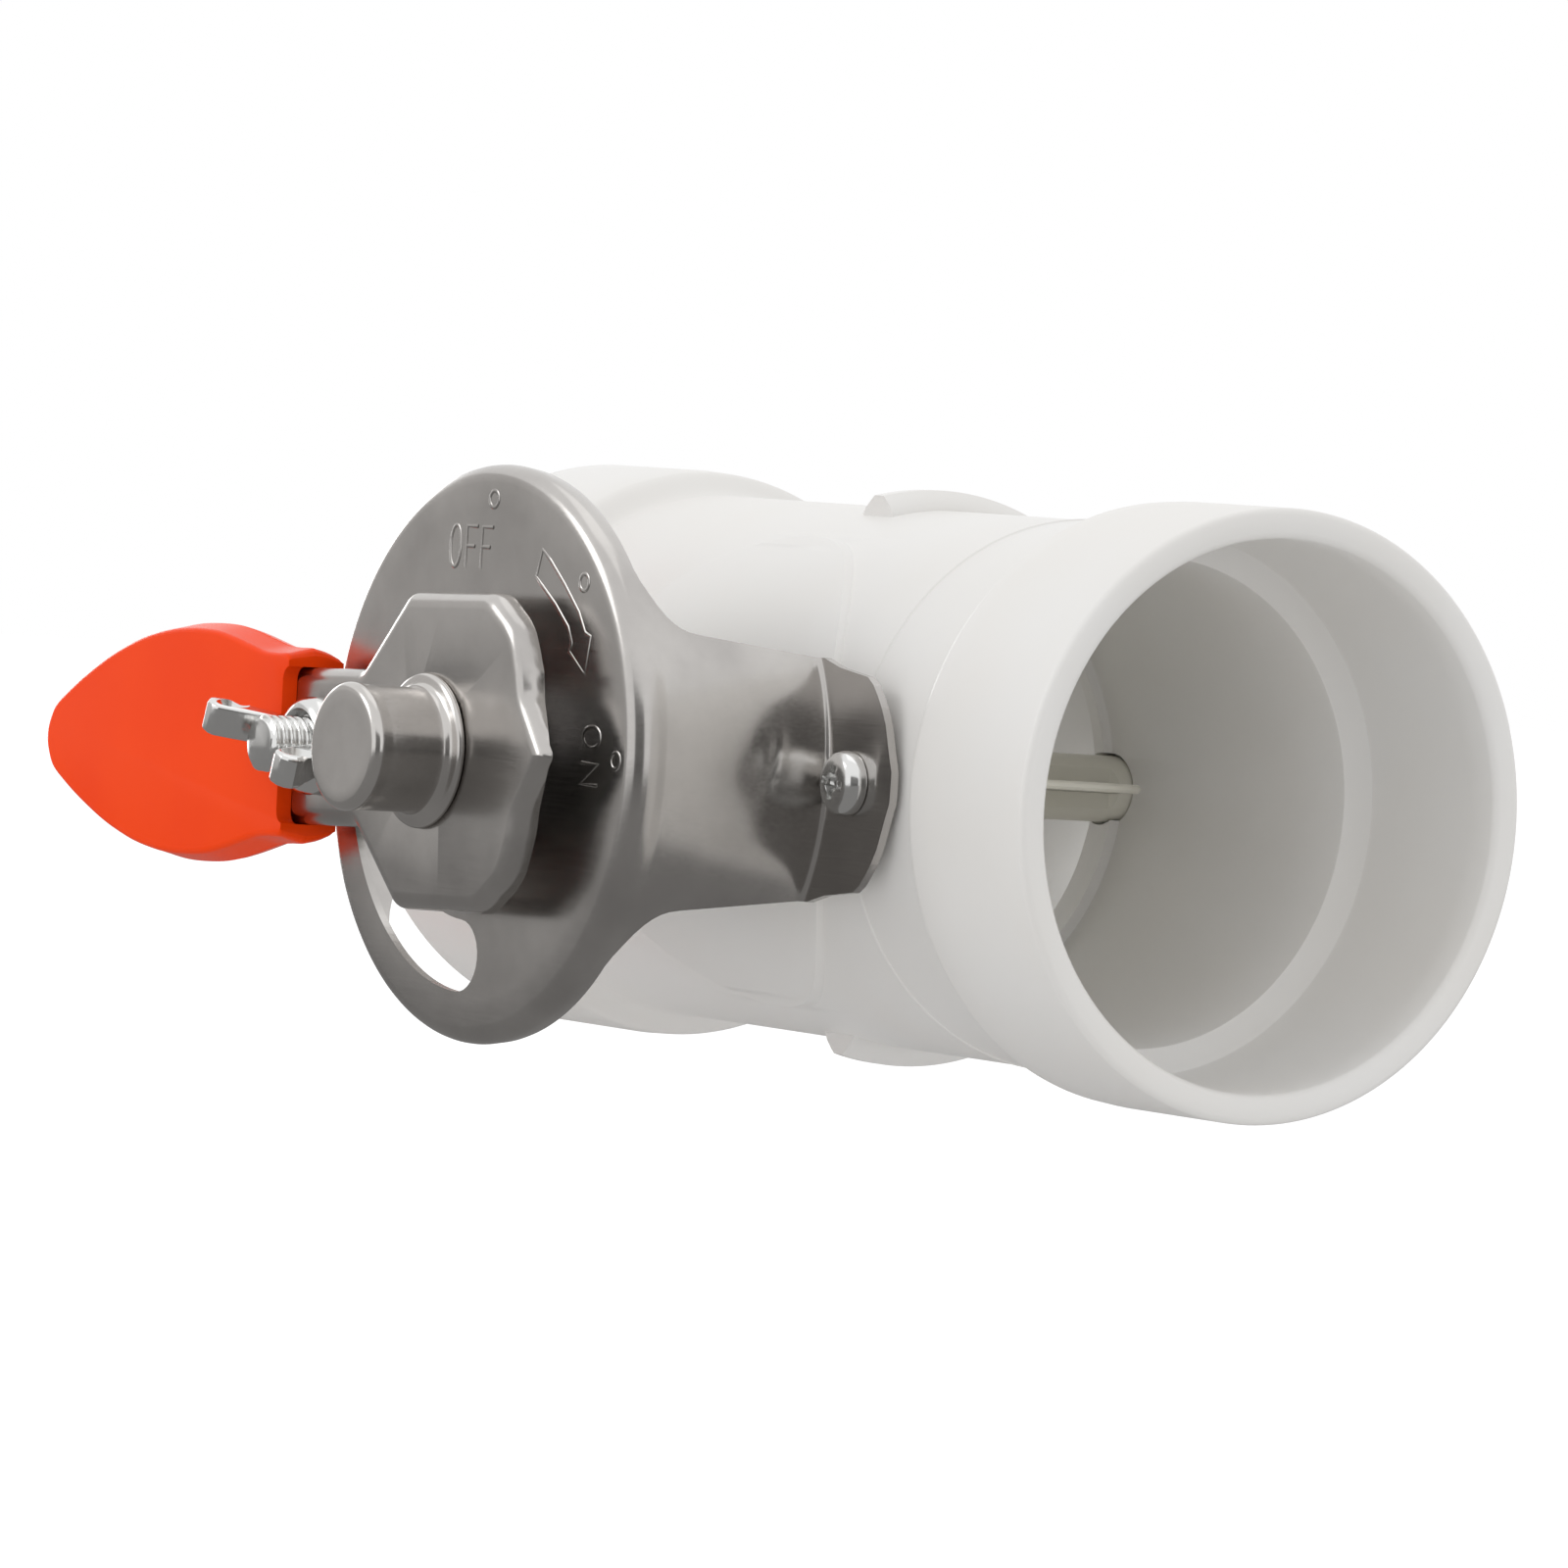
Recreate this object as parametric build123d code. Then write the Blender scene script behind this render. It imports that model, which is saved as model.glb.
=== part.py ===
from build123d import *
import math
import os

# Manual duct damper for a 75 mm pipe line. Millimetres.
# X is the duct axis, Y the shaft axis with the dial on the minus side, Z up.
# The pieces are drawn about the crossing of the duct axis and the shaft axis, and
# written out about the middle of the front socket, on the duct axis.

# duct body
half_length = 84.7
pipe_radius = 37.5
socket_wall = 4.2
socket_depth = 27.7
stop_length = 2.0
tube_wall = 4.5
tube_outer = 38.2
shoulder_start = 53.5
shoulder_run = 5.0
rim_round = 1.0
mouth_chamfer = 1.0
rib_height = 2.8
rib_half_base = 3.7
rib_half_top = 1.7
rib_cut = 10.5
throat_radius = 32.0
throat_rear = 2.2
throat_front = 0.2
throat_front_low = 2.8
pad_radius = 33.2
pad_height = 1.1
line_offset = 38.4
line_height = 0.2
line_width = 0.7

# blade and shaft
blade_gap = 0.5
blade_thickness = 1.2
shaft_radius = 4.8
running_gap = 0.08
shaft_flat = 3.8
flat_end = 30.4
slot_gap = 0.1
blade_screw_at = 13.0
blade_screw_radius = 1.5
blade_screw_head_radius = 2.8
blade_screw_head = 1.8
blade_screw_tip = 4.0

# larger than the whole object, for cuts that go right through
room = 400.0

# far bearing
far_boss_radius = 10.0
far_boss_end = 43.5
far_entry_radius = 5.2
far_entry_depth = 1.4
far_cap_radius = 7.0
far_cap_seat = 40.2
far_cap_flange = 9.4
far_cap_flange_height = 1.5
shaft_far_end = 39.4
ring_section = 0.75
far_ring_at = 37.2

# near bearing
near_boss_radius = 11.0
near_boss_height = 7.4
near_seat_depth = 0.7
bush_radius = 7.5
bush_flange_radius = 10.2
bush_flange = 1.5
near_ring_at = 42.0
shaft_head_radius = 7.6
shaft_head_length = 14.0
thrust_thickness = 1.0
drive_square = 7.0
drive_depth = 11.0

# dial bracket
sheet = 1.2
dial_radius = 40.0
dial_standoff = 36.1
rim_bend = 2.5
rim_depth = 4.9
leg_foot_radius = 36.3
foot_bend = 0.8
foot_radius = 51.5
foot_seat = 39.0
leg_half_top = 27.0
leg_half_mid = 18.8
leg_half_foot = 16.7
leg_waist_drop = 7.9
slot_inset = 12.0
slot_width = 10.0
slot_start = 182.0
slot_end = 268.0
foot_screw_gap = 0.0
foot_hole_radius = 2.6
dial_hole_radius = 8.0

# handle plate
handle_angle = 2.2
plate_rise = 8.3
plate_sheet = 1.5
plate_depth = 3.6
plate_half = 21.9
neck_half = 11.0
neck_joint = 18.6
plate_left = 7.0
plate_right = 14.8
shoulder_u = 21.7
shoulder_w = 17.2
waist_u = 23.8
waist_w = 11.5
notch_u = 24.7
notch_w = 7.8
pointer_tip = 30.4
tongue_half = 8.0
plate_bend = 2.3
square_size = 8.0
square_gap = 0.05

# spindle and its fixings
spindle_radius = 6.0
collar_radius = 9.0
collar_front_gap = 0.0
dial_bush_flange = 1.5
dial_bush_flange_radius = 10.6
spring_height = 2.0
spring_radius = 10.0
spring_sheet = 0.8
thread_radius = 3.0
spindle_reach = 9.0
small_washer_radius = 6.0
small_washer = 1.6
small_nut_across = 10.0
small_nut_height = 5.0
pin_radius = 1.25

# hub cap
cap_height = 13.4
cap_radius = 8.84
cap_wall = 0.8
cap_round = 1.24
bead_radius = 10.7
bead_height = 2.1

# lock bolt and wing nut
bolt_radius = 4.0
bolt_reach = 9.9
bolt_hole_radius = 4.4
bolt_head_radius = 8.0
bolt_head_height = 4.0
slot_washer_radius = 9.4
slot_washer = 1.6
spacer_radius = 7.0
slide_gap = 0.2
lock_washer_radius = 6.8
lock_washer = 1.2
nut_gap = 0.06
nut_collar_radius = 6.9
nut_collar_top = 6.3
nut_collar_height = 2.4
wing_thickness = 4.6
wing_angle = 160.6
wing_reach = 12.7
wing_height = 11.7
wing_round = 0.7

# grip
grip_cover = 2.4
grip_parting_drop = 2.2
grip_back_drop = 6.6
grip_length = 67.0
mouth_gap = 7.0
neck_cover = 2.0
tongue_cover = 39.0
lip_reach = 1.4
lip_half = 13.0
grip_half = 16.2
grip_bulge = 0.85
grip_fit = 0.05

# foot screws
screw_head_radius = 4.5
screw_head_height = 3.1
screw_shank_radius = 2.1
screw_core_radius = 2.15
screw_depth = 4.0
screw_point_gap = 0.3

tube_bore = tube_outer - tube_wall
socket_outer = pipe_radius + socket_wall
rib_outer = tube_outer + rib_height
near_seat = tube_outer + pad_height - near_seat_depth
near_boss_end = near_seat + near_boss_height
dial_front = tube_outer + dial_standoff
plate_front = dial_front + plate_rise
slot_centre = dial_radius - slot_inset
foot_screw_at = leg_foot_radius + foot_bend + screw_head_radius + foot_screw_gap
grip_mouth = slot_centre + mouth_gap
grip_tip = grip_mouth + grip_length
lip_end = grip_mouth - lip_reach
neck_end = grip_mouth + neck_cover
tongue_end = grip_mouth + tongue_cover
spindle_end = plate_front + spindle_reach
cap_front = plate_front + cap_height
bolt_end = plate_front + bolt_reach
wing_top = plate_front + lock_washer + wing_height
grip_front = plate_front + grip_cover
grip_parting = plate_front - grip_parting_drop
grip_back = plate_front - grip_back_drop
pad_outer = tube_outer + pad_height
blade_radius = throat_radius - blade_gap
stop_at = half_length - socket_depth
shaft_bore = shaft_radius + running_gap
dial_back = dial_front - sheet
rim_back = dial_front - rim_depth
leg_waist = rim_back - leg_waist_drop
foot_front = foot_seat + sheet
plate_back = plate_front - plate_sheet
plate_edge = plate_front - plate_depth
bush_face = near_boss_end + bush_flange
shaft_head_start = bush_face + thrust_thickness
shaft_near_end = shaft_head_start + shaft_head_length
dial_bush_front = dial_front + dial_bush_flange
collar_back = dial_bush_front + spring_height
lock_face = plate_front + lock_washer
tilt = Rot(0, -handle_angle, 0)


def turned_x(edges):
    return revolve(make_face(edges), axis=Axis.X)


def turned_y(edges):
    return revolve(make_face(edges), axis=Axis.Y)


def rod_x(radius, x_from, x_to):
    return Pos((x_from + x_to) / 2, 0, 0) * Rot(0, 90, 0) * Cylinder(radius, abs(x_to - x_from))


def rod_y(radius, y_from, y_to, x=0.0, z=0.0):
    return Pos(x, (y_from + y_to) / 2, z) * Rot(90, 0, 0) * Cylinder(radius, abs(y_to - y_from))


def box_y(x_size, z_size, y_from, y_to, x=0.0, z=0.0):
    return Pos(x, (y_from + y_to) / 2, z) * Box(x_size, abs(y_to - y_from), z_size)


def flat_y(sketch, y_from, y_to):
    # a sketch drawn in x and z, made solid between two y positions, y_from the smaller
    return extrude(Plane.XZ.offset(-y_to) * sketch, amount=y_to - y_from)


def s_curve(x0, r0, x1, r1):
    # two equal arcs joining two level lines smoothly
    run = x1 - x0
    rise = r1 - r0
    mid = (x0 + run / 2, r0 + rise / 2)
    radius = (run * run + rise * rise) / (4 * abs(rise))
    half = math.atan2(abs(rise), abs(run))
    sx = 1 if run > 0 else -1
    sr = 1 if rise > 0 else -1
    a = (x0 + sx * radius * math.sin(half), r0 + sr * radius * (1 - math.cos(half)))
    b = (x1 - sx * radius * math.sin(half), r1 - sr * radius * (1 - math.cos(half)))
    return [ThreePointArc((x0, r0), a, mid), ThreePointArc(mid, b, (x1, r1))]


def ring_on_shaft(y_at, outer):
    inner = outer - 2 * ring_section
    return Pos(0, y_at, 0) * Rot(90, 0, 0) * Torus(outer - ring_section, ring_section), inner


# duct body
shoulder_end = shoulder_start + shoulder_run
left_s = s_curve(-shoulder_end, socket_outer, -shoulder_start, tube_outer)
right_s = s_curve(shoulder_start, tube_outer, shoulder_end, socket_outer)
outline = [
    Line((-half_length, 0), (-half_length, socket_outer - rim_round)),
    ThreePointArc((-half_length, socket_outer - rim_round),
                  (-half_length + rim_round * 0.2929, socket_outer - rim_round * 0.2929),
                  (-half_length + rim_round, socket_outer)),
    Line((-half_length + rim_round, socket_outer), (-shoulder_end, socket_outer)),
    *left_s,
    Line((-shoulder_start, tube_outer), (shoulder_start, tube_outer)),
    *right_s,
    Line((shoulder_end, socket_outer), (half_length - rim_round, socket_outer)),
    ThreePointArc((half_length - rim_round, socket_outer),
                  (half_length - rim_round * 0.2929, socket_outer - rim_round * 0.2929),
                  (half_length, socket_outer - rim_round)),
    Line((half_length, socket_outer - rim_round), (half_length, 0)),
    Line((half_length, 0), (-half_length, 0)),
]
duct_body = turned_x(outline)
rib = turned_x(Polyline((-rib_half_base, 30), (-rib_half_base, tube_outer - 0.2),
                        (-rib_half_base + 0.6, tube_outer + 1.2), (-rib_half_top, rib_outer - 0.5),
                        (-rib_half_top + 0.6, rib_outer), (rib_half_top - 0.6, rib_outer),
                        (rib_half_top, rib_outer - 0.5), (rib_half_base - 0.6, tube_outer + 1.2),
                        (rib_half_base, tube_outer - 0.2), (rib_half_base, 30), close=True))
rib = rib - Pos(0, -rib_cut - room / 2, 0) * Box(room, room, room)
witness = turned_x(Polyline((line_offset - line_width / 2, 30), (line_offset - line_width / 2, tube_outer),
                            (line_offset, tube_outer + line_height),
                            (line_offset + line_width / 2, tube_outer),
                            (line_offset + line_width / 2, 30), close=True))
pad = rod_y(pad_radius, -60, -5) & rod_x(pad_outer, -60, 60)
far_boss = rod_y(far_boss_radius, tube_bore - 1, far_boss_end)
duct_body = duct_body + rib + witness + pad + far_boss

bore = [
    (-half_length - 1, 0),
    (-half_length - 1, pipe_radius + mouth_chamfer + 1),
    (-half_length, pipe_radius + mouth_chamfer),
    (-half_length + mouth_chamfer, pipe_radius),
    (-stop_at, pipe_radius),
    (-stop_at + stop_length, tube_bore),
    (-throat_rear, tube_bore),
    (-throat_rear, throat_radius),
    (throat_front, throat_radius),
    (throat_front, tube_bore),
    (stop_at - stop_length, tube_bore),
    (stop_at, pipe_radius),
    (half_length - mouth_chamfer, pipe_radius),
    (half_length, pipe_radius + mouth_chamfer),
    (half_length + 1, pipe_radius + mouth_chamfer + 1),
    (half_length + 1, 0),
]
bore_solid = turned_x(Polyline(*bore, close=True))
lip_ring = rod_x(tube_bore + 1, throat_front - 0.5, throat_front_low) - rod_x(throat_radius, -10, 10)
lip_ring = lip_ring & (Pos(0, 0, -25) * Box(20, 100, 50))
duct_body = duct_body - bore_solid + lip_ring
duct_body = duct_body - rod_y(bush_radius, -near_boss_end - 1, -20)
duct_body = duct_body - rod_y(near_boss_radius + slide_gap, -near_boss_end - 1, -near_seat)
duct_body = duct_body - rod_y(shaft_bore, 20, far_cap_seat + 1)
duct_body = duct_body - rod_y(far_entry_radius, 20, tube_bore + far_entry_depth)
duct_body = duct_body - rod_y(far_cap_radius, far_cap_seat, far_boss_end + 1)
for side in (-1, 1):
    seat = Pos(side * (foot_screw_at + 1.7), -foot_seat - 5, 0) * Box(17, 10, 14)
    duct_body = duct_body - seat
    duct_body = duct_body - rod_y(screw_core_radius, -room, -foot_seat + screw_depth, x=side * foot_screw_at)

# blade, closed it fills the throat ring, here it stands open along the duct
blade = Cylinder(blade_radius, blade_thickness)
blade = chamfer(blade.edges().filter_by(GeomType.CIRCLE), blade_thickness * 0.3)
blade_screw_hole = Cylinder(blade_screw_radius, 20)
for side in (-1, 1):
    blade = blade - Pos(0, side * blade_screw_at, 0) * blade_screw_hole

# shaft with two flats, a slot for the blade and a head with a square socket
shaft = rod_y(shaft_radius, -shaft_head_start, shaft_far_end)
for side in (-1, 1):
    flat_cut = make_face(Polyline((shaft_flat, -flat_end), (shaft_flat, flat_end), (8, flat_end + 5),
                                  (8, -flat_end - 5), close=True))
    flat_solid = extrude(Plane.XY.offset(-10) * flat_cut, amount=20)
    if side < 0:
        flat_solid = mirror(flat_solid, about=Plane.YZ)
    shaft = shaft - flat_solid
shaft = shaft + rod_y(shaft_head_radius, -shaft_near_end, -shaft_head_start)
shaft = shaft - Box(20, 2 * blade_radius + 0.2, blade_thickness + slot_gap)
shaft = shaft - box_y(drive_square, drive_square, -shaft_near_end - 1, -shaft_near_end + drive_depth)
shaft = chamfer(shaft.edges().filter_by(GeomType.CIRCLE).sort_by(Axis.Y)[-1], 0.6)
for y_at in (far_ring_at, -near_ring_at):
    groove = rod_y(10, y_at - ring_section - 0.1, y_at + ring_section + 0.1)
    groove = groove - rod_y(shaft_radius + 0.03 - 2 * ring_section, -room, room)
    shaft = shaft - groove
pin_at = shaft_near_end - drive_depth / 2
shaft = shaft - Pos(0, -pin_at, 0) * Rot(0, 90, 0) * Cylinder(pin_radius, 30)
for side in (-1, 1):
    shaft = shaft - Pos(0, side * blade_screw_at, 0) * blade_screw_hole

far_ring, _ = ring_on_shaft(far_ring_at, shaft_radius + 0.03)
near_ring, _ = ring_on_shaft(-near_ring_at, shaft_radius + 0.03)

blade_screws = []
for side in (-1, 1):
    stem_length = shaft_radius + blade_screw_tip
    stem = Pos(0, side * blade_screw_at, shaft_radius - stem_length / 2) * Cylinder(blade_screw_radius, stem_length)
    head = Pos(0, side * blade_screw_at, shaft_radius + blade_screw_head / 2) * Cylinder(blade_screw_head_radius,
                                                                                        blade_screw_head)
    head = chamfer(head.edges().filter_by(GeomType.CIRCLE).sort_by(Axis.Z)[-1], 0.6)
    blade_screws.append(stem + head)

# near bush, thrust washer and far cap
near_bush = rod_y(bush_radius, -near_boss_end, -tube_bore - 0.6)
near_bush = near_bush + rod_y(near_boss_radius, -near_boss_end, -near_seat)
near_bush = near_bush + rod_y(bush_flange_radius, -bush_face, -near_boss_end)
near_bush = near_bush - rod_y(shaft_bore, -room, 0)
near_bush = near_bush - rod_x(tube_bore, -room, room)
thrust_washer = rod_y(shaft_head_radius + 1.4, -shaft_head_start, -bush_face - slide_gap / 2)
thrust_washer = thrust_washer - rod_y(shaft_radius + 0.02, -room, 0)
far_cap = rod_y(far_cap_radius, far_cap_seat, far_boss_end)
far_cap = far_cap + rod_y(far_cap_flange, far_boss_end, far_boss_end + far_cap_flange_height)
far_cap = chamfer(far_cap.edges().filter_by(GeomType.CIRCLE).sort_by(Axis.Y)[-1], 0.6)

# dial bracket: one stamping turned as a bell, then trimmed to the dial and two legs
b = rim_bend
bi = rim_bend - sheet
f = foot_bend
fi = foot_bend + sheet
wall_top = dial_radius - 0.35
wall_low = leg_foot_radius
bend_y = -foot_front - f
q = math.sqrt(0.5)
bell = [
    Line((dial_hole_radius, -dial_front), (dial_radius - b, -dial_front)),
    ThreePointArc((dial_radius - b, -dial_front),
                  (dial_radius - b + b * q, -dial_front + b - b * q),
                  (dial_radius, -dial_front + b)),
    Line((dial_radius, -dial_front + b), (wall_top, -rim_back)),
    Line((wall_top, -rim_back), (wall_low, bend_y)),
    ThreePointArc((wall_low, bend_y), (wall_low + f - f * q, bend_y + f * q), (wall_low + f, -foot_front)),
    Line((wall_low + f, -foot_front), (foot_radius, -foot_front)),
    Line((foot_radius, -foot_front), (foot_radius, -foot_seat)),
    Line((foot_radius, -foot_seat), (wall_low + f, -foot_seat)),
    ThreePointArc((wall_low + f, -foot_seat), (wall_low + f - fi * q, bend_y + fi * q), (wall_low - sheet, bend_y)),
    Line((wall_low - sheet, bend_y), (wall_top - sheet, -rim_back)),
    Line((wall_top - sheet, -rim_back), (dial_radius - sheet, -dial_front + b)),
    ThreePointArc((dial_radius - sheet, -dial_front + b),
                  (dial_radius - b + bi * q, -dial_front + b - bi * q),
                  (dial_radius - b, -dial_back)),
    Line((dial_radius - b, -dial_back), (dial_hole_radius, -dial_back)),
    Line((dial_hole_radius, -dial_back), (dial_hole_radius, -dial_front)),
]
dial_bracket = turned_y(bell)
beyond = dial_radius + 20
leg_mid = (-(rim_back + leg_waist) / 2 - 0.9, (leg_half_top + leg_half_mid) / 2 - 1.9)
leg_end = -foot_seat + 8
leg_side = [
    Line((-rim_back, beyond), (-rim_back, leg_half_top)),
    ThreePointArc((-rim_back, leg_half_top), leg_mid, (-leg_waist, leg_half_mid)),
    Line((-leg_waist, leg_half_mid), (leg_end, leg_half_foot - 0.4)),
    Line((leg_end, leg_half_foot - 0.4), (leg_end, beyond)),
    Line((leg_end, beyond), (-rim_back, beyond)),
]
side_cut = extrude(Plane.YZ.offset(-beyond * 2) * make_face(leg_side), amount=beyond * 4)
dial_bracket = dial_bracket - side_cut - mirror(side_cut, about=Plane.XY)
corner = make_face(Polyline((leg_foot_radius - 3, leg_half_foot), (leg_foot_radius + 1.0, leg_half_foot - 1.1),
                            (foot_radius - 7.4, leg_half_foot - 2.0), (foot_radius - 4.7, leg_half_foot - 4.4),
                            (foot_radius - 2.3, leg_half_foot - 8.2), (foot_radius - 0.9, leg_half_foot - 12.2),
                            (foot_radius + 0.6, 0.4), (foot_radius + 4, 0.4), (foot_radius + 4, leg_half_foot + 8),
                            (leg_foot_radius - 3, leg_half_foot + 8), close=True))
corner_cut = flat_y(corner, bend_y + 0.4, leg_end)
for cut in (corner_cut, mirror(corner_cut, about=Plane.YZ)):
    dial_bracket = dial_bracket - cut - mirror(cut, about=Plane.XY)
slot_arc = CenterArc((0, 0), slot_centre, slot_start, slot_end - slot_start)
slot_face = SlotArc(slot_arc, slot_width)
dial_bracket = dial_bracket - flat_y(slot_face, -dial_front - 1, -dial_back + 1)
for side in (-1, 1):
    dial_bracket = dial_bracket - rod_y(foot_hole_radius, -foot_front - 1, -foot_seat + 1, x=side * foot_screw_at)

# foot screws
foot_screws = []
for side in (-1, 1):
    head_profile = [
        Line((0, 0), (screw_head_radius, 0)),
        Line((screw_head_radius, 0), (screw_head_radius, -0.9)),
        ThreePointArc((screw_head_radius, -0.9), (screw_head_radius * 0.72, -2.5), (0, -screw_head_height)),
        Line((0, -screw_head_height), (0, 0)),
    ]
    head = Pos(side * foot_screw_at, -foot_front, 0) * turned_y(head_profile)
    stem = rod_y(screw_shank_radius, -foot_front, -foot_seat + screw_depth - screw_point_gap, x=side * foot_screw_at)
    cross = Pos(side * foot_screw_at, -foot_front - screw_head_height + 0.7, 0) * (Box(1.1, 2.4, 4.4) + Box(4.4, 2.4, 1.1))
    foot_screws.append(head + stem - cross)

# bush in the dial
dial_bush = rod_y(dial_hole_radius, -dial_front, -dial_back + 1.6)
dial_bush = dial_bush + rod_y(dial_bush_flange_radius, -dial_bush_front, -dial_front)
dial_bush = dial_bush - rod_y(spindle_radius + running_gap, -room, 0)

# spindle: tail in the shaft, journal in the dial bush, collar, square, thread
tail_from = shaft_near_end - drive_depth + 0.3
spindle = box_y(drive_square - 0.02, drive_square - 0.02, -shaft_near_end - 1.5, -tail_from)
spindle = spindle + rod_y(spindle_radius, -collar_back, -shaft_near_end - 1.5)
spindle = spindle + rod_y(collar_radius, -plate_back, -collar_back)
spindle = spindle + box_y(square_size, square_size, -plate_front + 0.1, -plate_back)
spindle = spindle + rod_y(thread_radius, -spindle_end, -plate_front + 0.1)
spindle = spindle - Pos(0, -pin_at, 0) * Rot(0, 90, 0) * Cylinder(pin_radius, 30)
spindle_pin = Pos(0, -pin_at, 0) * Rot(0, 90, 0) * (Cylinder(pin_radius, 2 * shaft_head_radius - 0.6)
                                                     - Cylinder(pin_radius * 0.5, 40))
spring_profile = Polyline((spindle_radius + 0.3, -collar_back), (spindle_radius + 1.6, -collar_back),
                          (spring_radius, -dial_bush_front - spring_sheet),
                          (spring_radius, -dial_bush_front - 0.02),
                          (spring_radius - 1.2, -dial_bush_front - 0.02),
                          (spindle_radius + 0.3, -collar_back + spring_sheet), close=True)
spring_washer = turned_y(spring_profile)
spindle_washer = rod_y(small_washer_radius, -plate_front - small_washer, -plate_front)
spindle_washer = spindle_washer - rod_y(thread_radius + 0.1, -room, 0)
nut_front = plate_front + small_washer + small_nut_height
spindle_nut = flat_y(RegularPolygon(small_nut_across / 2, 6, major_radius=False), -nut_front,
                     -plate_front - small_washer)
spindle_nut = spindle_nut - rod_y(thread_radius, -room, 0)

# hub cap
hub_profile = [
    Line((0, -cap_front), (cap_radius - cap_round, -cap_front)),
    ThreePointArc((cap_radius - cap_round, -cap_front),
                  (cap_radius - cap_round + cap_round * q, -cap_front + cap_round - cap_round * q),
                  (cap_radius, -cap_front + cap_round)),
    Line((cap_radius, -cap_front + cap_round), (cap_radius, -plate_front - bead_height)),
    ThreePointArc((cap_radius, -plate_front - bead_height), (cap_radius + 0.25, -plate_front - bead_height + 0.6),
                  (cap_radius + 0.85, -plate_front - bead_height + 0.85)),
    Line((cap_radius + 0.85, -plate_front - bead_height + 0.85), (bead_radius - 0.5, -plate_front - 1.2)),
    ThreePointArc((bead_radius - 0.5, -plate_front - 1.2), (bead_radius, -plate_front - 0.6),
                  (bead_radius - 0.5, -plate_front)),
    Line((bead_radius - 0.5, -plate_front), (cap_radius - cap_wall, -plate_front)),
    Line((cap_radius - cap_wall, -plate_front), (cap_radius - cap_wall, -cap_front + cap_wall)),
    Line((cap_radius - cap_wall, -cap_front + cap_wall), (0, -cap_front + cap_wall)),
    Line((0, -cap_front + cap_wall), (0, -cap_front)),
]
hub_cap = turned_y(hub_profile)


def handle_outline(inset):
    # outline of the flanged plate with the neck, inset by the sheet for the inside
    neck_start = (-neck_end - 1.0 * (inset > 0), neck_half - inset)
    half = [
        ((-neck_joint + inset * 0.4, neck_half - inset), 1.5),
        ((-plate_left + inset * 0.4, plate_half - inset), 2.6),
        ((plate_right - inset * 0.6, plate_half - inset), 3.4),
        ((shoulder_u - inset * 0.9, shoulder_w - inset * 0.5), 3.4),
        ((waist_u - inset, waist_w - inset * 0.2), 3.0),
        ((notch_u - inset, notch_w - inset * 0.2), 1.5),
    ]
    tip = ((pointer_tip - inset * 1.3, 0), 1.2)
    upper = [neck_start] + [spot for spot, _ in half]
    pts = upper + [tip[0]] + [(u, -w) for u, w in reversed(upper)]
    face = make_face(Polyline(*pts, close=True))
    rounded = half + [tip] + [((u, -w), radius) for (u, w), radius in half]
    for (u, w), radius in rounded:
        near = sorted(face.vertices(), key=lambda v: (v.X - u) ** 2 + (v.Y - w) ** 2)[0]
        face = fillet(near, radius if inset == 0 else max(radius - 0.8, 0.4))
    return face


outer_plate = flat_y(handle_outline(0), -plate_front, -plate_edge)
front_edges = outer_plate.faces().sort_by(Axis.Y)[0].edges().filter_by(lambda e: e.center().X > -neck_end + 0.1)
outer_plate = fillet(front_edges, plate_bend)
inner_plate = flat_y(handle_outline(plate_sheet), -plate_back, -plate_edge + 1)
inner_edges = inner_plate.faces().sort_by(Axis.Y)[0].edges().filter_by(lambda e: e.center().X > -neck_end + 0.1)
inner_plate = fillet(inner_edges, plate_bend - plate_sheet)
handle_plate = outer_plate - inner_plate
tongue = box_y(tongue_end - neck_end + 2, 2 * tongue_half, -plate_front, -plate_back, x=-(tongue_end + neck_end - 2) / 2)
tongue = fillet(tongue.edges().filter_by(Axis.Y).group_by(Axis.X)[0], 4)
handle_plate = handle_plate + tongue
handle_plate = handle_plate - box_y(square_size + 2 * square_gap, square_size + 2 * square_gap, -room, 0)
handle_plate = handle_plate - rod_y(bolt_hole_radius, -room, 0, x=-slot_centre)

# lock bolt with its spacer and washers
lock_bolt = rod_y(bolt_radius, -bolt_end, -dial_back + slide_gap + slot_washer, x=-slot_centre)
lock_bolt = chamfer(lock_bolt.edges().filter_by(GeomType.CIRCLE).sort_by(Axis.Y)[0], 0.5)
head_back = dial_back - slide_gap - slot_washer - bolt_head_height
bolt_head = rod_y(bolt_head_radius, -dial_back + slide_gap + slot_washer, -head_back, x=-slot_centre)
bolt_head = chamfer(bolt_head.edges().filter_by(GeomType.CIRCLE).sort_by(Axis.Y)[-1], 1.5)
lock_bolt = lock_bolt + bolt_head
slot_washer_part = rod_y(slot_washer_radius, -dial_back + slide_gap, -dial_back + slide_gap + slot_washer, x=-slot_centre)
slot_washer_part = slot_washer_part - rod_y(bolt_radius + 0.1, -room, 0, x=-slot_centre)
spacer = rod_y(spacer_radius, -plate_back, -dial_front - slide_gap, x=-slot_centre)
spacer = spacer - rod_y(bolt_radius + 0.1, -room, 0, x=-slot_centre)
lock_washer_part = rod_y(lock_washer_radius, -lock_face, -plate_front - 0.02, x=-slot_centre)
lock_washer_part = lock_washer_part - rod_y(bolt_radius + nut_gap + 0.1, -room, 0, x=-slot_centre)

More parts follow.
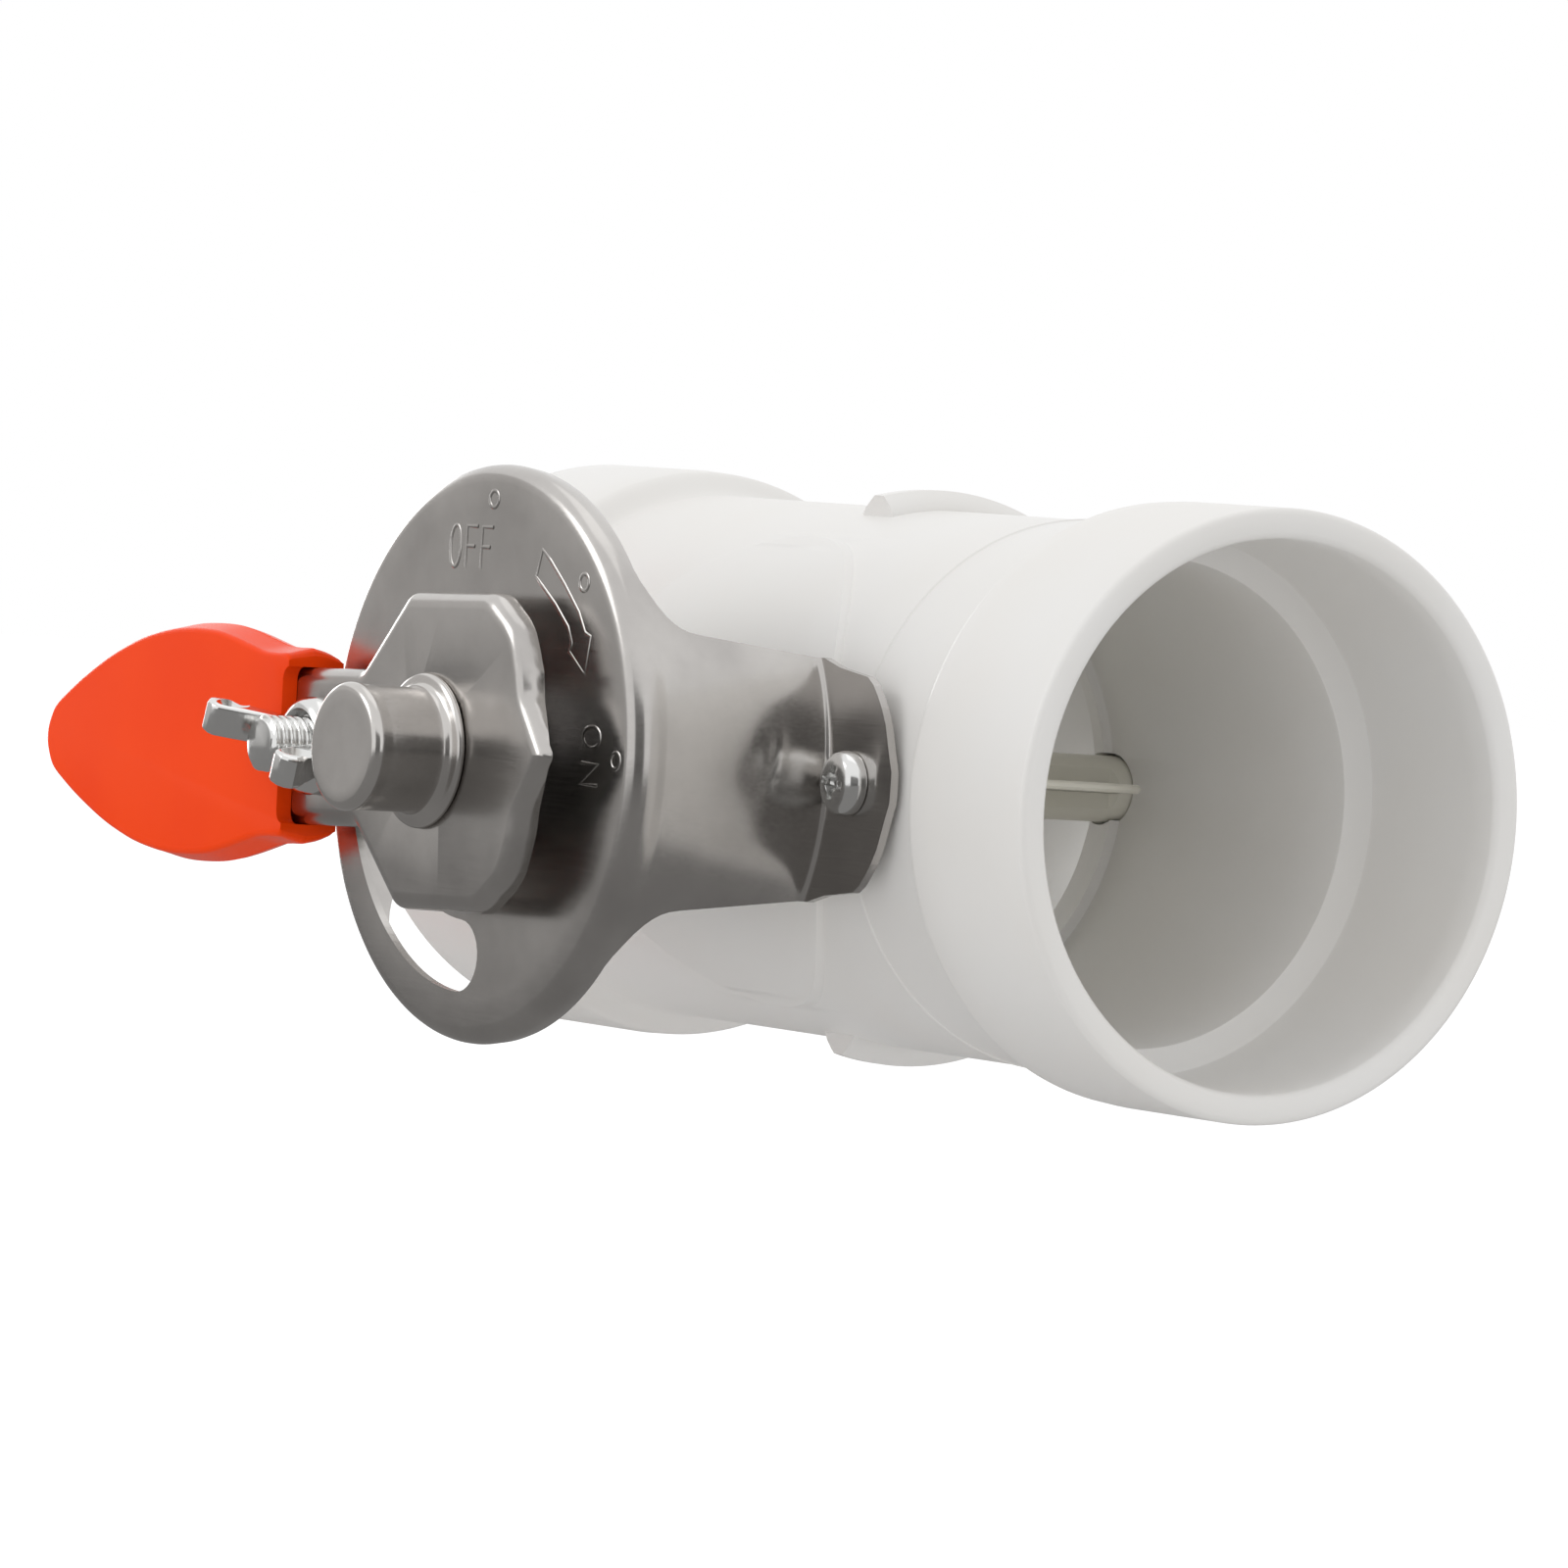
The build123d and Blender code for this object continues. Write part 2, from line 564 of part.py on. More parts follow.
collar_front = lock_face + 0.02 + nut_collar_height
nut_profile = Polyline((bolt_radius + nut_gap, -lock_face - 0.02), (nut_collar_radius, -lock_face - 0.02),
                       (nut_collar_radius, -lock_face - 0.8), (nut_collar_top, -collar_front),
                       (bolt_radius + 1.0, -collar_front), (bolt_radius + nut_gap, -collar_front + 0.8), close=True)
wing_nut = turned_y(nut_profile)
wing_face = [
    Line((4.9, -lock_face - 0.4), (nut_collar_top - 0.2, -lock_face - 0.9)),
    Line((nut_collar_top - 0.2, -lock_face - 0.9), (nut_collar_top + 0.4, -lock_face - 1.9)),
    Line((nut_collar_top + 0.4, -lock_face - 1.9), (wing_reach - 0.5, -wing_top + 3.4)),
    ThreePointArc((wing_reach - 0.5, -wing_top + 3.4), (wing_reach - 1.0, -wing_top + 0.7),
                  (wing_reach - 3.1, -wing_top)),
    Line((wing_reach - 3.1, -wing_top), (wing_reach - 4.1, -wing_top + 0.2)),
    Line((wing_reach - 4.1, -wing_top + 0.2), (4.9, -lock_face - 3.4)),
    Line((4.9, -lock_face - 3.4), (4.9, -lock_face - 0.4)),
]
wing = extrude(Plane.XY.offset(-wing_thickness / 2) * make_face(wing_face), amount=wing_thickness)
wing_rims = wing.edges().filter_by(lambda e: e.center().X > 7.0 and abs(abs(e.center().Z) - wing_thickness / 2) < 0.01)
wing = fillet(wing_rims, wing_round)
wing_nut = wing_nut + wing + Rot(0, 180, 0) * wing
wing_nut = wing_nut - rod_y(bolt_radius + nut_gap, -room, 0)
wing_nut = Pos(-slot_centre, 0, 0) * Rot(0, -wing_angle, 0) * wing_nut

# grip: front shell, wider parting line, rounded back
def grip_outline(grow):
    # half widths at distances from the mouth, from the tip to the cheeks
    m = grip_mouth
    half = [(-grip_tip - grow, 0), (-m - 66.6 - grow, 2.0), (-m - 65.0 - grow, 4.5 + grow * 0.3),
            (-m - 61.8 - grow * 0.7, 6.5 + grow * 0.6), (-m - 56.7, 9.05 + grow), (-m - 50.3, 11.75 + grow),
            (-m - 45.0, 13.5 + grow), (-m - 39.5, 14.9 + grow), (-m - 32.4, 15.95 + grow),
            (-m - 26.2, grip_half + grow), (-m - 20.4, 15.95 + grow), (-m - 15.6, 15.2 + grow),
            (-m - 11.0, 14.2 + grow * 0.8), (-m - 6.6, 13.25 + grow * 0.4)]
    top = Spline(*half, tangents=((0, 1), (1, -0.18)))
    flat_top = Line(half[-1], (-m - 3.5, lip_half))
    lip_top = Line((-m - 3.5, lip_half), (-lip_end - 1.4, lip_half - 0.1))
    lip_round = ThreePointArc((-lip_end - 1.4, lip_half - 0.1), (-lip_end - 0.3, lip_half - 0.5),
                              (-lip_end, lip_half - 1.4))
    lip_in = Line((-lip_end, lip_half - 1.4), (-lip_end, 0))
    upper = [top, flat_top, lip_top, lip_round, lip_in]
    return make_face(upper + [mirror(e, about=Plane.XZ) for e in upper])


front_face = Plane.XZ.offset(grip_front) * grip_outline(0.0)
part_face = Plane.XZ.offset(grip_parting) * grip_outline(grip_bulge)
back_face = Plane.XZ.offset(grip_back) * grip_outline(-0.6)
grip = loft([front_face, part_face]) + loft([part_face, back_face])
mouth = box_y(grip_mouth - lip_end + 2, 2 * (neck_half + grip_fit), -grip_front - 1, -grip_back + 1,
              x=-(grip_mouth + lip_end - 2) / 2)
mouth = fillet(mouth.edges().filter_by(Axis.Y).group_by(Axis.X)[0], 1.6)
neck_pocket = box_y(neck_end - lip_end + 2, 2 * (neck_half + grip_fit), -plate_front - grip_fit, -plate_edge + grip_fit,
                    x=-(neck_end + lip_end) / 2 + 1 - 0.1)
tongue_pocket = box_y(tongue_end - neck_end + 2 + 0.2, 2 * (tongue_half + grip_fit), -plate_front - grip_fit,
                      -plate_back + grip_fit, x=-(tongue_end + neck_end - 2) / 2 - 0.1)
grip = grip - mouth - neck_pocket - tongue_pocket

nodes = {
    "duct_body": duct_body,
    "near_bush": near_bush,
    "far_cap": far_cap,
    "dial_bracket": dial_bracket,
    "front_screw": foot_screws[1],
    "rear_screw": foot_screws[0],
    "dial_bush": dial_bush,
    "blade": tilt * blade,
    "shaft": tilt * shaft,
    "blade_screw_near": tilt * blade_screws[0],
    "blade_screw_far": tilt * blade_screws[1],
    "near_ring": tilt * near_ring,
    "far_ring": tilt * far_ring,
    "thrust_washer": tilt * thrust_washer,
    "spindle": tilt * spindle,
    "spindle_pin": tilt * spindle_pin,
    "spring_washer": tilt * spring_washer,
    "handle_plate": tilt * handle_plate,
    "spindle_washer": tilt * spindle_washer,
    "spindle_nut": tilt * spindle_nut,
    "hub_cap": tilt * hub_cap,
    "grip": tilt * grip,
    "lock_bolt": tilt * lock_bolt,
    "slot_washer": tilt * slot_washer_part,
    "lock_spacer": tilt * spacer,
    "lock_washer": tilt * lock_washer_part,
    "wing_nut": tilt * wing_nut,
}

socket_middle = (stop_at + half_length - mouth_chamfer) / 2
os.makedirs("parts", exist_ok=True)
for name, shape in nodes.items():
    placed = Pos(-socket_middle, 0, 0) * shape
    print(name, len(placed.solids()), round(sum(solid.volume for solid in placed.solids()), 1))
    export_step(placed, "parts/" + name + ".step")
print("socket middle", socket_middle)
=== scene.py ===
import math
import bpy
import bmesh
from mathutils import Matrix, Vector


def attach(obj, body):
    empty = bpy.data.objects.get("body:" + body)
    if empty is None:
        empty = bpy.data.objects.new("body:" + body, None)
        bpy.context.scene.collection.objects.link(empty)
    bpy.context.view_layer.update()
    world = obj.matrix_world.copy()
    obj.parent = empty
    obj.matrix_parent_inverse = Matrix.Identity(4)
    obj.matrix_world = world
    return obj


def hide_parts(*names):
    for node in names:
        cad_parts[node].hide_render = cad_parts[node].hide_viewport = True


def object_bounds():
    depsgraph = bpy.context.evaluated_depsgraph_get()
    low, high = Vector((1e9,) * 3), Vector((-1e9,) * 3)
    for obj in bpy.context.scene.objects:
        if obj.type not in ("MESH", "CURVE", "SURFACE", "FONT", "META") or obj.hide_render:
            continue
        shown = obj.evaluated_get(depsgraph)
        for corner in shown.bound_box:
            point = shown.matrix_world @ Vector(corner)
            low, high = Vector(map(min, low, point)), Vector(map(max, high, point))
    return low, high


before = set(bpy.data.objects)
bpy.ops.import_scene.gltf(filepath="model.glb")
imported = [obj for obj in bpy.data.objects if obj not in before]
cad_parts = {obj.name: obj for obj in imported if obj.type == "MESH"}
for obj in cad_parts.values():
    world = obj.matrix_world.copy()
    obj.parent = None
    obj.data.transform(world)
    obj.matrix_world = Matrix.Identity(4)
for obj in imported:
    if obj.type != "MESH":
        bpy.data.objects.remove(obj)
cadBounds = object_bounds()
print("frame loaded")

# Everything is drawn in millimetres about the crossing of the duct axis and the shaft axis.
layout = {"socketMiddle": 70.35, "handleTurn": 2.2, "weldWithin": 0.0005}


def toFrame(turned=False):
    matrix = Matrix.Scale(0.001, 4) @ Matrix.Translation((-layout["socketMiddle"], 0, 0))
    if turned:
        matrix = matrix @ Matrix.Rotation(math.radians(-layout["handleTurn"]), 4, "Y")
    return matrix


# mesh helpers

def newPiece(name, points, faces):
    mesh = bpy.data.meshes.new(name)
    mesh.from_pydata([tuple(p) for p in points], [], faces)
    piece = bpy.data.objects.new(name, mesh)
    bpy.context.scene.collection.objects.link(piece)
    work = bmesh.new()
    work.from_mesh(mesh)
    bmesh.ops.remove_doubles(work, verts=work.verts, dist=layout["weldWithin"])
    bmesh.ops.recalc_face_normals(work, faces=work.faces)
    work.to_mesh(mesh)
    work.free()
    return piece


def turnedPiece(name, profile, axis="X", steps=128, closed=False):
    # profile: (along, radius) points; closed joins the last point to the first
    points, rings, faces = [], [], []
    for along, radius in profile:
        ring = []
        count = 1 if radius < 1e-6 else steps
        for k in range(count):
            a = 2 * math.pi * k / steps
            c, s = radius * math.cos(a), radius * math.sin(a)
            ring.append(len(points))
            points.append({"X": (along, c, s), "Y": (c, along, s), "Z": (c, s, along)}[axis])
        rings.append(ring)
    pairs = list(zip(rings, rings[1:]))
    if closed:
        pairs.append((rings[-1], rings[0]))
    for low, high in pairs:
        for k in range(steps):
            quad = [low[k % len(low)], low[(k + 1) % len(low)],
                    high[(k + 1) % len(high)], high[k % len(high)]]
            face = [v for n, v in enumerate(quad) if v not in quad[:n]]
            if len(face) > 2:
                faces.append(face)
    return newPiece(name, points, faces)


def rodPiece(name, low, high, radius, axis="Y", steps=96):
    return turnedPiece(name, [(low, 0), (low, radius), (high, radius), (high, 0)], axis, steps)


def ringPiece(name, rings):
    # rings of equally many points, joined one to the next and closed at both ends
    count = len(rings[0])
    points = [p for ring in rings for p in ring]
    faces = []
    for r in range(len(rings) - 1):
        for k in range(count):
            a, b = r * count + k, r * count + (k + 1) % count
            faces.append([a, b, b + count, a + count])
    faces.append(list(range(count)))
    faces.append(list(range((len(rings) - 1) * count, len(rings) * count)))
    return newPiece(name, points, faces)


def prismPiece(name, outline, low, high, along="Y"):
    # an outline of (x, z) points run along y, or of (y, z) points along x
    def at(p, level):
        return (p[0], level, p[1]) if along == "Y" else (level, p[0], p[1])
    return ringPiece(name, [[at(p, low) for p in outline], [at(p, high) for p in outline]])


def boxPiece(name, low, high):
    outline = [(low[0], low[2]), (high[0], low[2]), (high[0], high[2]), (low[0], high[2])]
    return prismPiece(name, outline, low[1], high[1])


def roundedOutline(corners, steps=8):
    # corners: (a, b, radius) in order round the outline
    out = []
    for n, (a, b, radius) in enumerate(corners):
        here = Vector((a, b))
        before = Vector(corners[n - 1][:2]) - here
        after = Vector(corners[(n + 1) % len(corners)][:2]) - here
        if radius <= 0:
            out.append((a, b))
            continue
        half = before.angle(after) / 2
        reach = min(radius / math.tan(half), before.length * 0.49, after.length * 0.49)
        radius = reach * math.tan(half)
        start, end = here + before.normalized() * reach, here + after.normalized() * reach
        middle = (before.normalized() + after.normalized()).normalized()
        centre = here + middle * (radius / math.sin(half))
        for k in range(steps + 1):
            way = (start - centre).normalized().slerp((end - centre).normalized(), k / steps)
            out.append(tuple(centre + way * radius))
    return out


def movedIn(outline, distance):
    # each point moved in along the outline's own normal
    area = sum(p[0] * q[1] - q[0] * p[1] for p, q in zip(outline, outline[1:] + outline[:1]))
    side = 1 if area > 0 else -1
    out = []
    for n, p in enumerate(outline):
        before, after = Vector(outline[n - 1]), Vector(outline[(n + 1) % len(outline)])
        run = (Vector(p) - before).normalized() + (after - Vector(p)).normalized()
        run.normalize()
        out.append((p[0] - run.y * distance * side, p[1] + run.x * distance * side))
    return out


def insetCorners(corners, distance):
    # the corner list of the same outline moved in, its rounded corners kept concentric
    area = sum(p[0] * q[1] - q[0] * p[1] for p, q in zip(corners, corners[1:] + corners[:1]))
    side = 1 if area > 0 else -1
    out = []
    for n, (a, b, radius) in enumerate(corners):
        here = Vector((a, b))
        coming = (here - Vector(corners[n - 1][:2])).normalized()
        leaving = (Vector(corners[(n + 1) % len(corners)][:2]) - here).normalized()
        inward = Vector((-coming.y, coming.x)) * side
        inwardNext = Vector((-leaving.y, leaving.x)) * side
        bisector = (inward + inwardNext).normalized()
        spot = here + bisector * (distance / max(bisector.dot(inward), 0.2))
        convex = side * (coming.x * leaving.y - coming.y * leaving.x) > 0
        if radius > 0:
            radius = max(radius - distance, 0.2) if convex else radius + distance
        out.append((spot.x, spot.y, radius))
    return out


def arcPoints(centre, radius, start, end, steps):
    out = []
    for k in range(steps + 1):
        a = math.radians(start + (end - start) * k / steps)
        out.append((centre[0] + radius * math.cos(a), centre[1] + radius * math.sin(a)))
    return out


def applyAll(piece):
    depsgraph = bpy.context.evaluated_depsgraph_get()
    mesh = bpy.data.meshes.new_from_object(piece.evaluated_get(depsgraph))
    piece.modifiers.clear()
    piece.data = mesh


def combine(piece, tool, operation):
    change = piece.modifiers.new("join", "BOOLEAN")
    change.object = tool
    change.operation = operation
    change.solver = "EXACT"
    applyAll(piece)
    bpy.data.objects.remove(tool)
    return piece


def cut(piece, tool):
    return combine(piece, tool, "DIFFERENCE")


def add(piece, tool):
    return combine(piece, tool, "UNION")


def soften(piece, width, steps=2, angle=40):
    # breaks the sharp edges as the press or the mould leaves them
    edges = piece.modifiers.new("edges", "BEVEL")
    edges.width = width
    edges.segments = steps
    edges.limit_method = "ANGLE"
    edges.angle_limit = math.radians(angle)
    edges.use_clamp_overlap = True
    edges.miter_outer = "MITER_ARC"
    applyAll(piece)
    return piece


def shade(piece, angle=32):
    work = bmesh.new()
    work.from_mesh(piece.data)
    for face in work.faces:
        face.smooth = True
    for edge in work.edges:
        if len(edge.link_faces) == 2:
            edge.smooth = edge.calc_face_angle(0) < math.radians(angle)
    work.to_mesh(piece.data)
    work.free()


def movedPiece(piece, matrix):
    piece.data.transform(matrix)
    return piece


def settle(piece, body, material, nodes=(), turned=False, angle=32):
    # into the frame: size, place, body, finish and the solids it stands for
    piece.data.transform(toFrame(turned))
    shade(piece, angle)
    piece.data.materials.clear()
    piece.data.materials.append(material)
    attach(piece, body)
    if nodes:
        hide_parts(*nodes)
    return piece


# materials

def newMaterial(name, color, roughness, metallic=0.0):
    material = bpy.data.materials.new(name)
    material.use_nodes = True
    shader = material.node_tree.nodes["Principled BSDF"]
    shader.inputs["Base Color"].default_value = (*color, 1)
    shader.inputs["Roughness"].default_value = roughness
    shader.inputs["Metallic"].default_value = metallic
    return material, shader


def addNode(material, kind):
    return material.node_tree.nodes.new(kind)


def wire(material, source, output, target, socket):
    material.node_tree.links.new(source.outputs[output], target.inputs[socket])


def placeNode(material, stretch=(1, 1, 1)):
    # object coordinates in millimetres, stretched where the grain runs
    where = addNode(material, "ShaderNodeTexCoord")
    scale = addNode(material, "ShaderNodeMapping")
    scale.inputs["Scale"].default_value = [1000 * s for s in stretch]
    wire(material, where, "Object", scale, "Vector")
    return scale


def noiseNode(material, scale, detail=3, stretch=(1, 1, 1)):
    noise = addNode(material, "ShaderNodeTexNoise")
    noise.inputs["Scale"].default_value = scale
    noise.inputs["Detail"].default_value = detail
    wire(material, placeNode(material, stretch), "Vector", noise, "Vector")
    return noise


def rampNode(material, noise, positions, colors):
    ramp = addNode(material, "ShaderNodeValToRGB")
    for element, position, color in zip(ramp.color_ramp.elements, positions, colors):
        element.position = position
        element.color = (*color, 1)
    wire(material, noise, "Fac", ramp, "Fac")
    return ramp


def bumpFrom(material, shader, noise, strength, distance):
    bump = addNode(material, "ShaderNodeBump")
    bump.inputs["Strength"].default_value = strength
    bump.inputs["Distance"].default_value = distance / 1000
    wire(material, noise, "Fac", bump, "Height")
    wire(material, bump, "Normal", shader, "Normal")


# what the moulded finishes share unless their own look says otherwise
plasticBase = {
    "specular": 0.5,
    # the slow change of tint: noise scale and detail, and the noise levels it runs between
    "cloud": (0.05, 2), "cloudStops": (0.35, 0.65),
    # the moulded skin: noise scale and detail, then bump strength and depth
    "skin": (1.4, 4), "bump": (0.1, 0.04),
}
plasticLooks = {
    "whitePvc": {"color": (0.85, 0.84, 0.822), "tint": (0.84, 0.823, 0.795), "roughness": 0.36,
                 "specular": 0.45, "cloud": (0.035, 2), "cloudStops": (0.3, 0.7),
                 "skin": (0.9, 4), "bump": (0.08, 0.1)},
    "orangeGrip": {"color": (0.99, 0.064, 0.002), "tint": (0.96, 0.057, 0.002), "roughness": 0.26,
                   "specular": 0.1},
    "creamPlastic": {"color": (0.83, 0.81, 0.72), "tint": (0.80, 0.78, 0.68), "roughness": 0.32},
    "acetal": {"color": (0.74, 0.73, 0.68), "tint": (0.7, 0.69, 0.64), "roughness": 0.35},
    "blackRubber": {"color": (0.02, 0.02, 0.02), "tint": (0.03, 0.03, 0.03), "roughness": 0.6},
}


def plasticMaterial(name):
    look = {**plasticBase, **plasticLooks[name]}
    material, shader = newMaterial(name, look["color"], look["roughness"])
    shader.inputs["Specular IOR Level"].default_value = look["specular"]
    cloud = noiseNode(material, *look["cloud"])
    color = rampNode(material, cloud, look["cloudStops"], (look["tint"], look["color"]))
    wire(material, color, "Color", shader, "Base Color")
    bumpFrom(material, shader, noiseNode(material, *look["skin"]), *look["bump"])
    return material


steelLook = {
    "dark": (0.47, 0.452, 0.436), "light": (0.58, 0.56, 0.54), "cloudStops": (0.32, 0.7),
    "roughness": (0.2, 0.25), "grainStops": (0.35, 0.7),
    # noises: scale, detail and the stretch along each axis
    "grain": (2.2, 3, (0.06, 0.5, 1.6)), "cloud": (0.07, 4), "scuff": (0.35, 6, (0.6, 1.0, 1.0)),
    "scuffBump": (0.05, 0.04),
}


def steelMaterial(name="stampedStainless", tone=1.0, smooth=1.0):
    look = steelLook
    material, shader = newMaterial(name, look["light"], look["roughness"][1], 1.0)
    cloud = noiseNode(material, *look["cloud"])
    tints = [[tone * c for c in look[key]] for key in ("dark", "light")]
    color = rampNode(material, cloud, look["cloudStops"], tints)
    wire(material, color, "Color", shader, "Base Color")
    grain = noiseNode(material, *look["grain"])
    levels = [(smooth * r,) * 3 for r in look["roughness"]]
    rough = rampNode(material, grain, look["grainStops"], levels)
    wire(material, rough, "Color", shader, "Roughness")
    # scuffs and handling marks, broader than the sheet's own grain
    bumpFrom(material, shader, noiseNode(material, *look["scuff"]), *look["scuffBump"])
    return material


zincLook = {
    "color": (0.76, 0.76, 0.75), "plainRoughness": 0.24, "roughness": (0.11, 0.22),
    "cloud": (0.8, 4), "cloudStops": (0.35, 0.7), "bump": (0.1, 0.06),
}


def zincMaterial(name="zincPlate", color=zincLook["color"]):
    look = zincLook
    material, shader = newMaterial(name, color, look["plainRoughness"], 1.0)
    cloud = noiseNode(material, *look["cloud"])
    rough = rampNode(material, cloud, look["cloudStops"], [(r,) * 3 for r in look["roughness"]])
    wire(material, rough, "Color", shader, "Roughness")
    bumpFrom(material, shader, cloud, *look["bump"])
    return material


whitePvc = plasticMaterial("whitePvc")
stainless = steelMaterial()
capSteel = steelMaterial("capStainless", 1.12, 0.8)
zinc = zincMaterial()
springSteel = zincMaterial("springSteel", (0.25, 0.25, 0.26))
turnedSteel = zincMaterial("turnedSteel", (0.45, 0.45, 0.46))
orange = plasticMaterial("orangeGrip")
cream = plasticMaterial("creamPlastic")
acetal = plasticMaterial("acetal")
rubber = plasticMaterial("blackRubber")
print("materials ready")


# the moulded pipe body

pipe = {
    "half": 84.7, "outer": 41.7, "bore": 37.5, "tube": 38.2, "tubeBore": 33.7,
    "stop": 57.0, "stopRun": 2.0, "shoulder": (53.2, 58.6), "rim": 1.0,
    # the mouth's lead-in, from its outer end: along and out, in shares of its size
    "lead": 1.0, "leadCurve": [(0, 1), (0.25, 0.55), (0.6, 0.22), (1, 0)],
    "throat": 32.0, "throatSpan": (-2.2, 0.2), "throatLow": 2.8, "throatEdge": 0.15,
    # how the throat ring runs out into the bore: along, in
    "throatFoot": [(0.8, 0), (0.25, 0.3), (0, 0.9)],
    "padRadius": 33.2, "padTop": 39.3, "padEdge": 0.35, "witness": 38.4, "witnessRise": 0.2,
    # half the rib's section, from its foot to its crown: along, radius
    "rib": [(3.7, 37), (3.7, 38.3), (3.1, 39.3), (1.9, 40.4), (1.1, 41.0)], "ribCut": -10.5,
    # the radius inside the tube's wall that pad and boss are cut back to
    "core": 36,
    "boss": [(36, 0), (36, 10), (43.1, 10), (43.5, 9.6), (43.5, 0)],
    "spotFace": (-38.6, 11.2), "bushHole": 7.5,
    "shaftHole": [(20, 0), (20, 5.2), (35.1, 5.2), (35.1, 4.88),
                  (40.2, 4.88), (40.2, 7), (50, 7), (50, 0)],
    "around": 192,
}


def sCurve(x0, r0, x1, r1, steps=10):
    out = []
    for k in range(1, steps):
        t = k / steps
        out.append((x0 + (x1 - x0) * t, r0 + (r1 - r0) * t * t * (3 - 2 * t)))
    return out


def buildPipe():
    p = pipe
    half, rim, lead, around = p["half"], p["rim"], p["lead"], p["around"]
    outer, bore, tube = p["outer"], p["bore"], p["tube"]
    tubeBore, throat = p["tubeBore"], p["throat"]
    low, high = p["shoulder"]
    line, crest = p["witness"], tube + p["witnessRise"]
    witness = [(line - 0.4, tube), (line - 0.2, crest), (line + 0.2, crest), (line + 0.4, tube)]
    socket = [(low, tube)] + sCurve(low, tube, high, outer - 0.2)
    socket += [(high, outer - 0.2), (high + 4, outer), (half - 8, outer)]
    socket += arcPoints((half - rim, outer - rim), rim, 90, 0, 6)
    # in through the mouth, down to the stop and along the bore
    stop, stopEnd = p["stop"], p["stop"] - p["stopRun"]
    inside = [(half - lead * t, bore + lead * s) for t, s in p["leadCurve"]]
    inside += [(half - 6, bore), (stop + 0.3, bore), (stop, bore - 0.15),
               (stopEnd + 0.2, tubeBore + 0.15), (stopEnd - 0.3, tubeBore)]
    inside += [(40, tubeBore), (20, tubeBore)]
    back, front = p["throatSpan"]
    edge = p["throatEdge"]
    middle = [(front + t, tubeBore - s) for t, s in p["throatFoot"]]
    middle += [(front, throat + edge), (front - edge, throat),
               (back + edge, throat), (back, throat + edge)]
    middle += [(back - t, tubeBore - s) for t, s in reversed(p["throatFoot"])]
    profile = [(-x, r) for x, r in reversed(socket)] + [(x, tube) for x in (-20, 0, 20)]
    profile += witness + socket + inside + middle + [(-x, r) for x, r in reversed(inside)]
    body = turnedPiece("pipeBody", profile, "X", around, closed=True)

    rib = turnedPiece("rib", [(-x, r) for x, r in p["rib"]] + p["rib"][::-1], "X", around, True)
    cut(rib, boxPiece("ribEnd", (-20, -60, -60), (20, p["ribCut"], 60)))
    add(body, rib)
    pad = rodPiece("pad", -36, 36, p["padTop"], "X", around)
    combine(pad, rodPiece("padDisc", -60, -5, p["padRadius"], "Y", 160), "INTERSECT")
    cut(pad, rodPiece("padCore", -80, 80, p["core"], "X"))
    soften(pad, p["padEdge"])
    add(body, pad)
    lipTop, lipEnd = tubeBore + 0.6, p["throatLow"]
    lip = [(0.0, lipTop), (0.0, throat), (lipEnd, throat), (lipEnd, lipTop)]
    lowLip = turnedPiece("lowLip", lip, "X", around, True)
    cut(lowLip, boxPiece("lipTop", (-5, -60, 0), (9, 60, 60)))
    add(body, lowLip)
    farBoss = turnedPiece("farBoss", p["boss"], "Y", 96)
    cut(farBoss, rodPiece("bossCore", -80, 80, p["core"], "X"))
    add(body, farBoss)
    seat, seatRadius = p["spotFace"]
    cut(body, rodPiece("spotFace", -60, seat, seatRadius))
    cut(body, rodPiece("bushHole", -50, -20, p["bushHole"]))
    cut(body, turnedPiece("shaftHole", p["shaftHole"], "Y", 96))
    return body


pipeBody = buildPipe()
settle(pipeBody, "duct", whitePvc, ["duct_body"])
print("pipe body built")


# the stamped dial bracket

bracket = {
    "sheet": 1.2, "front": -74.3, "radius": 40.0, "bend": 2.5, "rimBack": -69.4, "rimEnd": 39.65,
    "foot": 36.3, "footBend": 0.8, "footRadius": 51.5, "footFront": -40.2, "hole": 8.0,
    "slotCentre": 28.0, "slotHalf": 5.0, "slotStart": 182, "slotEnd": 268,
    "screwAt": 41.6, "screwHole": 2.6, "edge": 0.12,
    "faceRadii": (12, 22, 34), "legRows": 36, "footRows": 16, "around": 256,
    # the edge of the cut that leaves the legs, from the rim down: y, z
    "legSide": [(-68.9, 25.4), (-68.2, 23.9), (-67.3, 22.3), (-66.2, 20.95), (-65.2, 20.1),
                (-64.1, 19.45), (-62.8, 19.0), (-61.0, 18.72), (-41, 16.75), (-30, 16.6),
                (-30, 60)],
    # what is cut off each corner of the feet: x, z
    "footCorner": [(33.3, 16.7), (37.3, 15.6), (44.1, 14.7), (45.6, 13.7), (46.8, 12.3),
                   (48.1, 10.5), (49.2, 8.5), (50.6, 4.5), (52.1, 0.4), (56, 0.4), (56, 20),
                   (33.3, 20)],
    # press marks are on the front leg only, beyond this x
    "marksFrom": 20,
    # hollows pressed for the screw: y, z, reach along y and z, depth
    "dents": [(-45.6, 0.8, 4.0, 6.0, 0.7), (-51.2, 3.2, 1.5, 2.6, 0.2),
              (-48.6, 4.0, 1.2, 2.6, -0.2), (-50.0, -1.2, 1.3, 2.4, -0.16),
              (-53.4, 0.6, 2.6, 3.2, 0.14)],
    # swelling of the foot beyond the screw: x, z, reach along x and z, height
    "swell": (48.6, 0.6, 1.7, 3.6, 0.4),
}


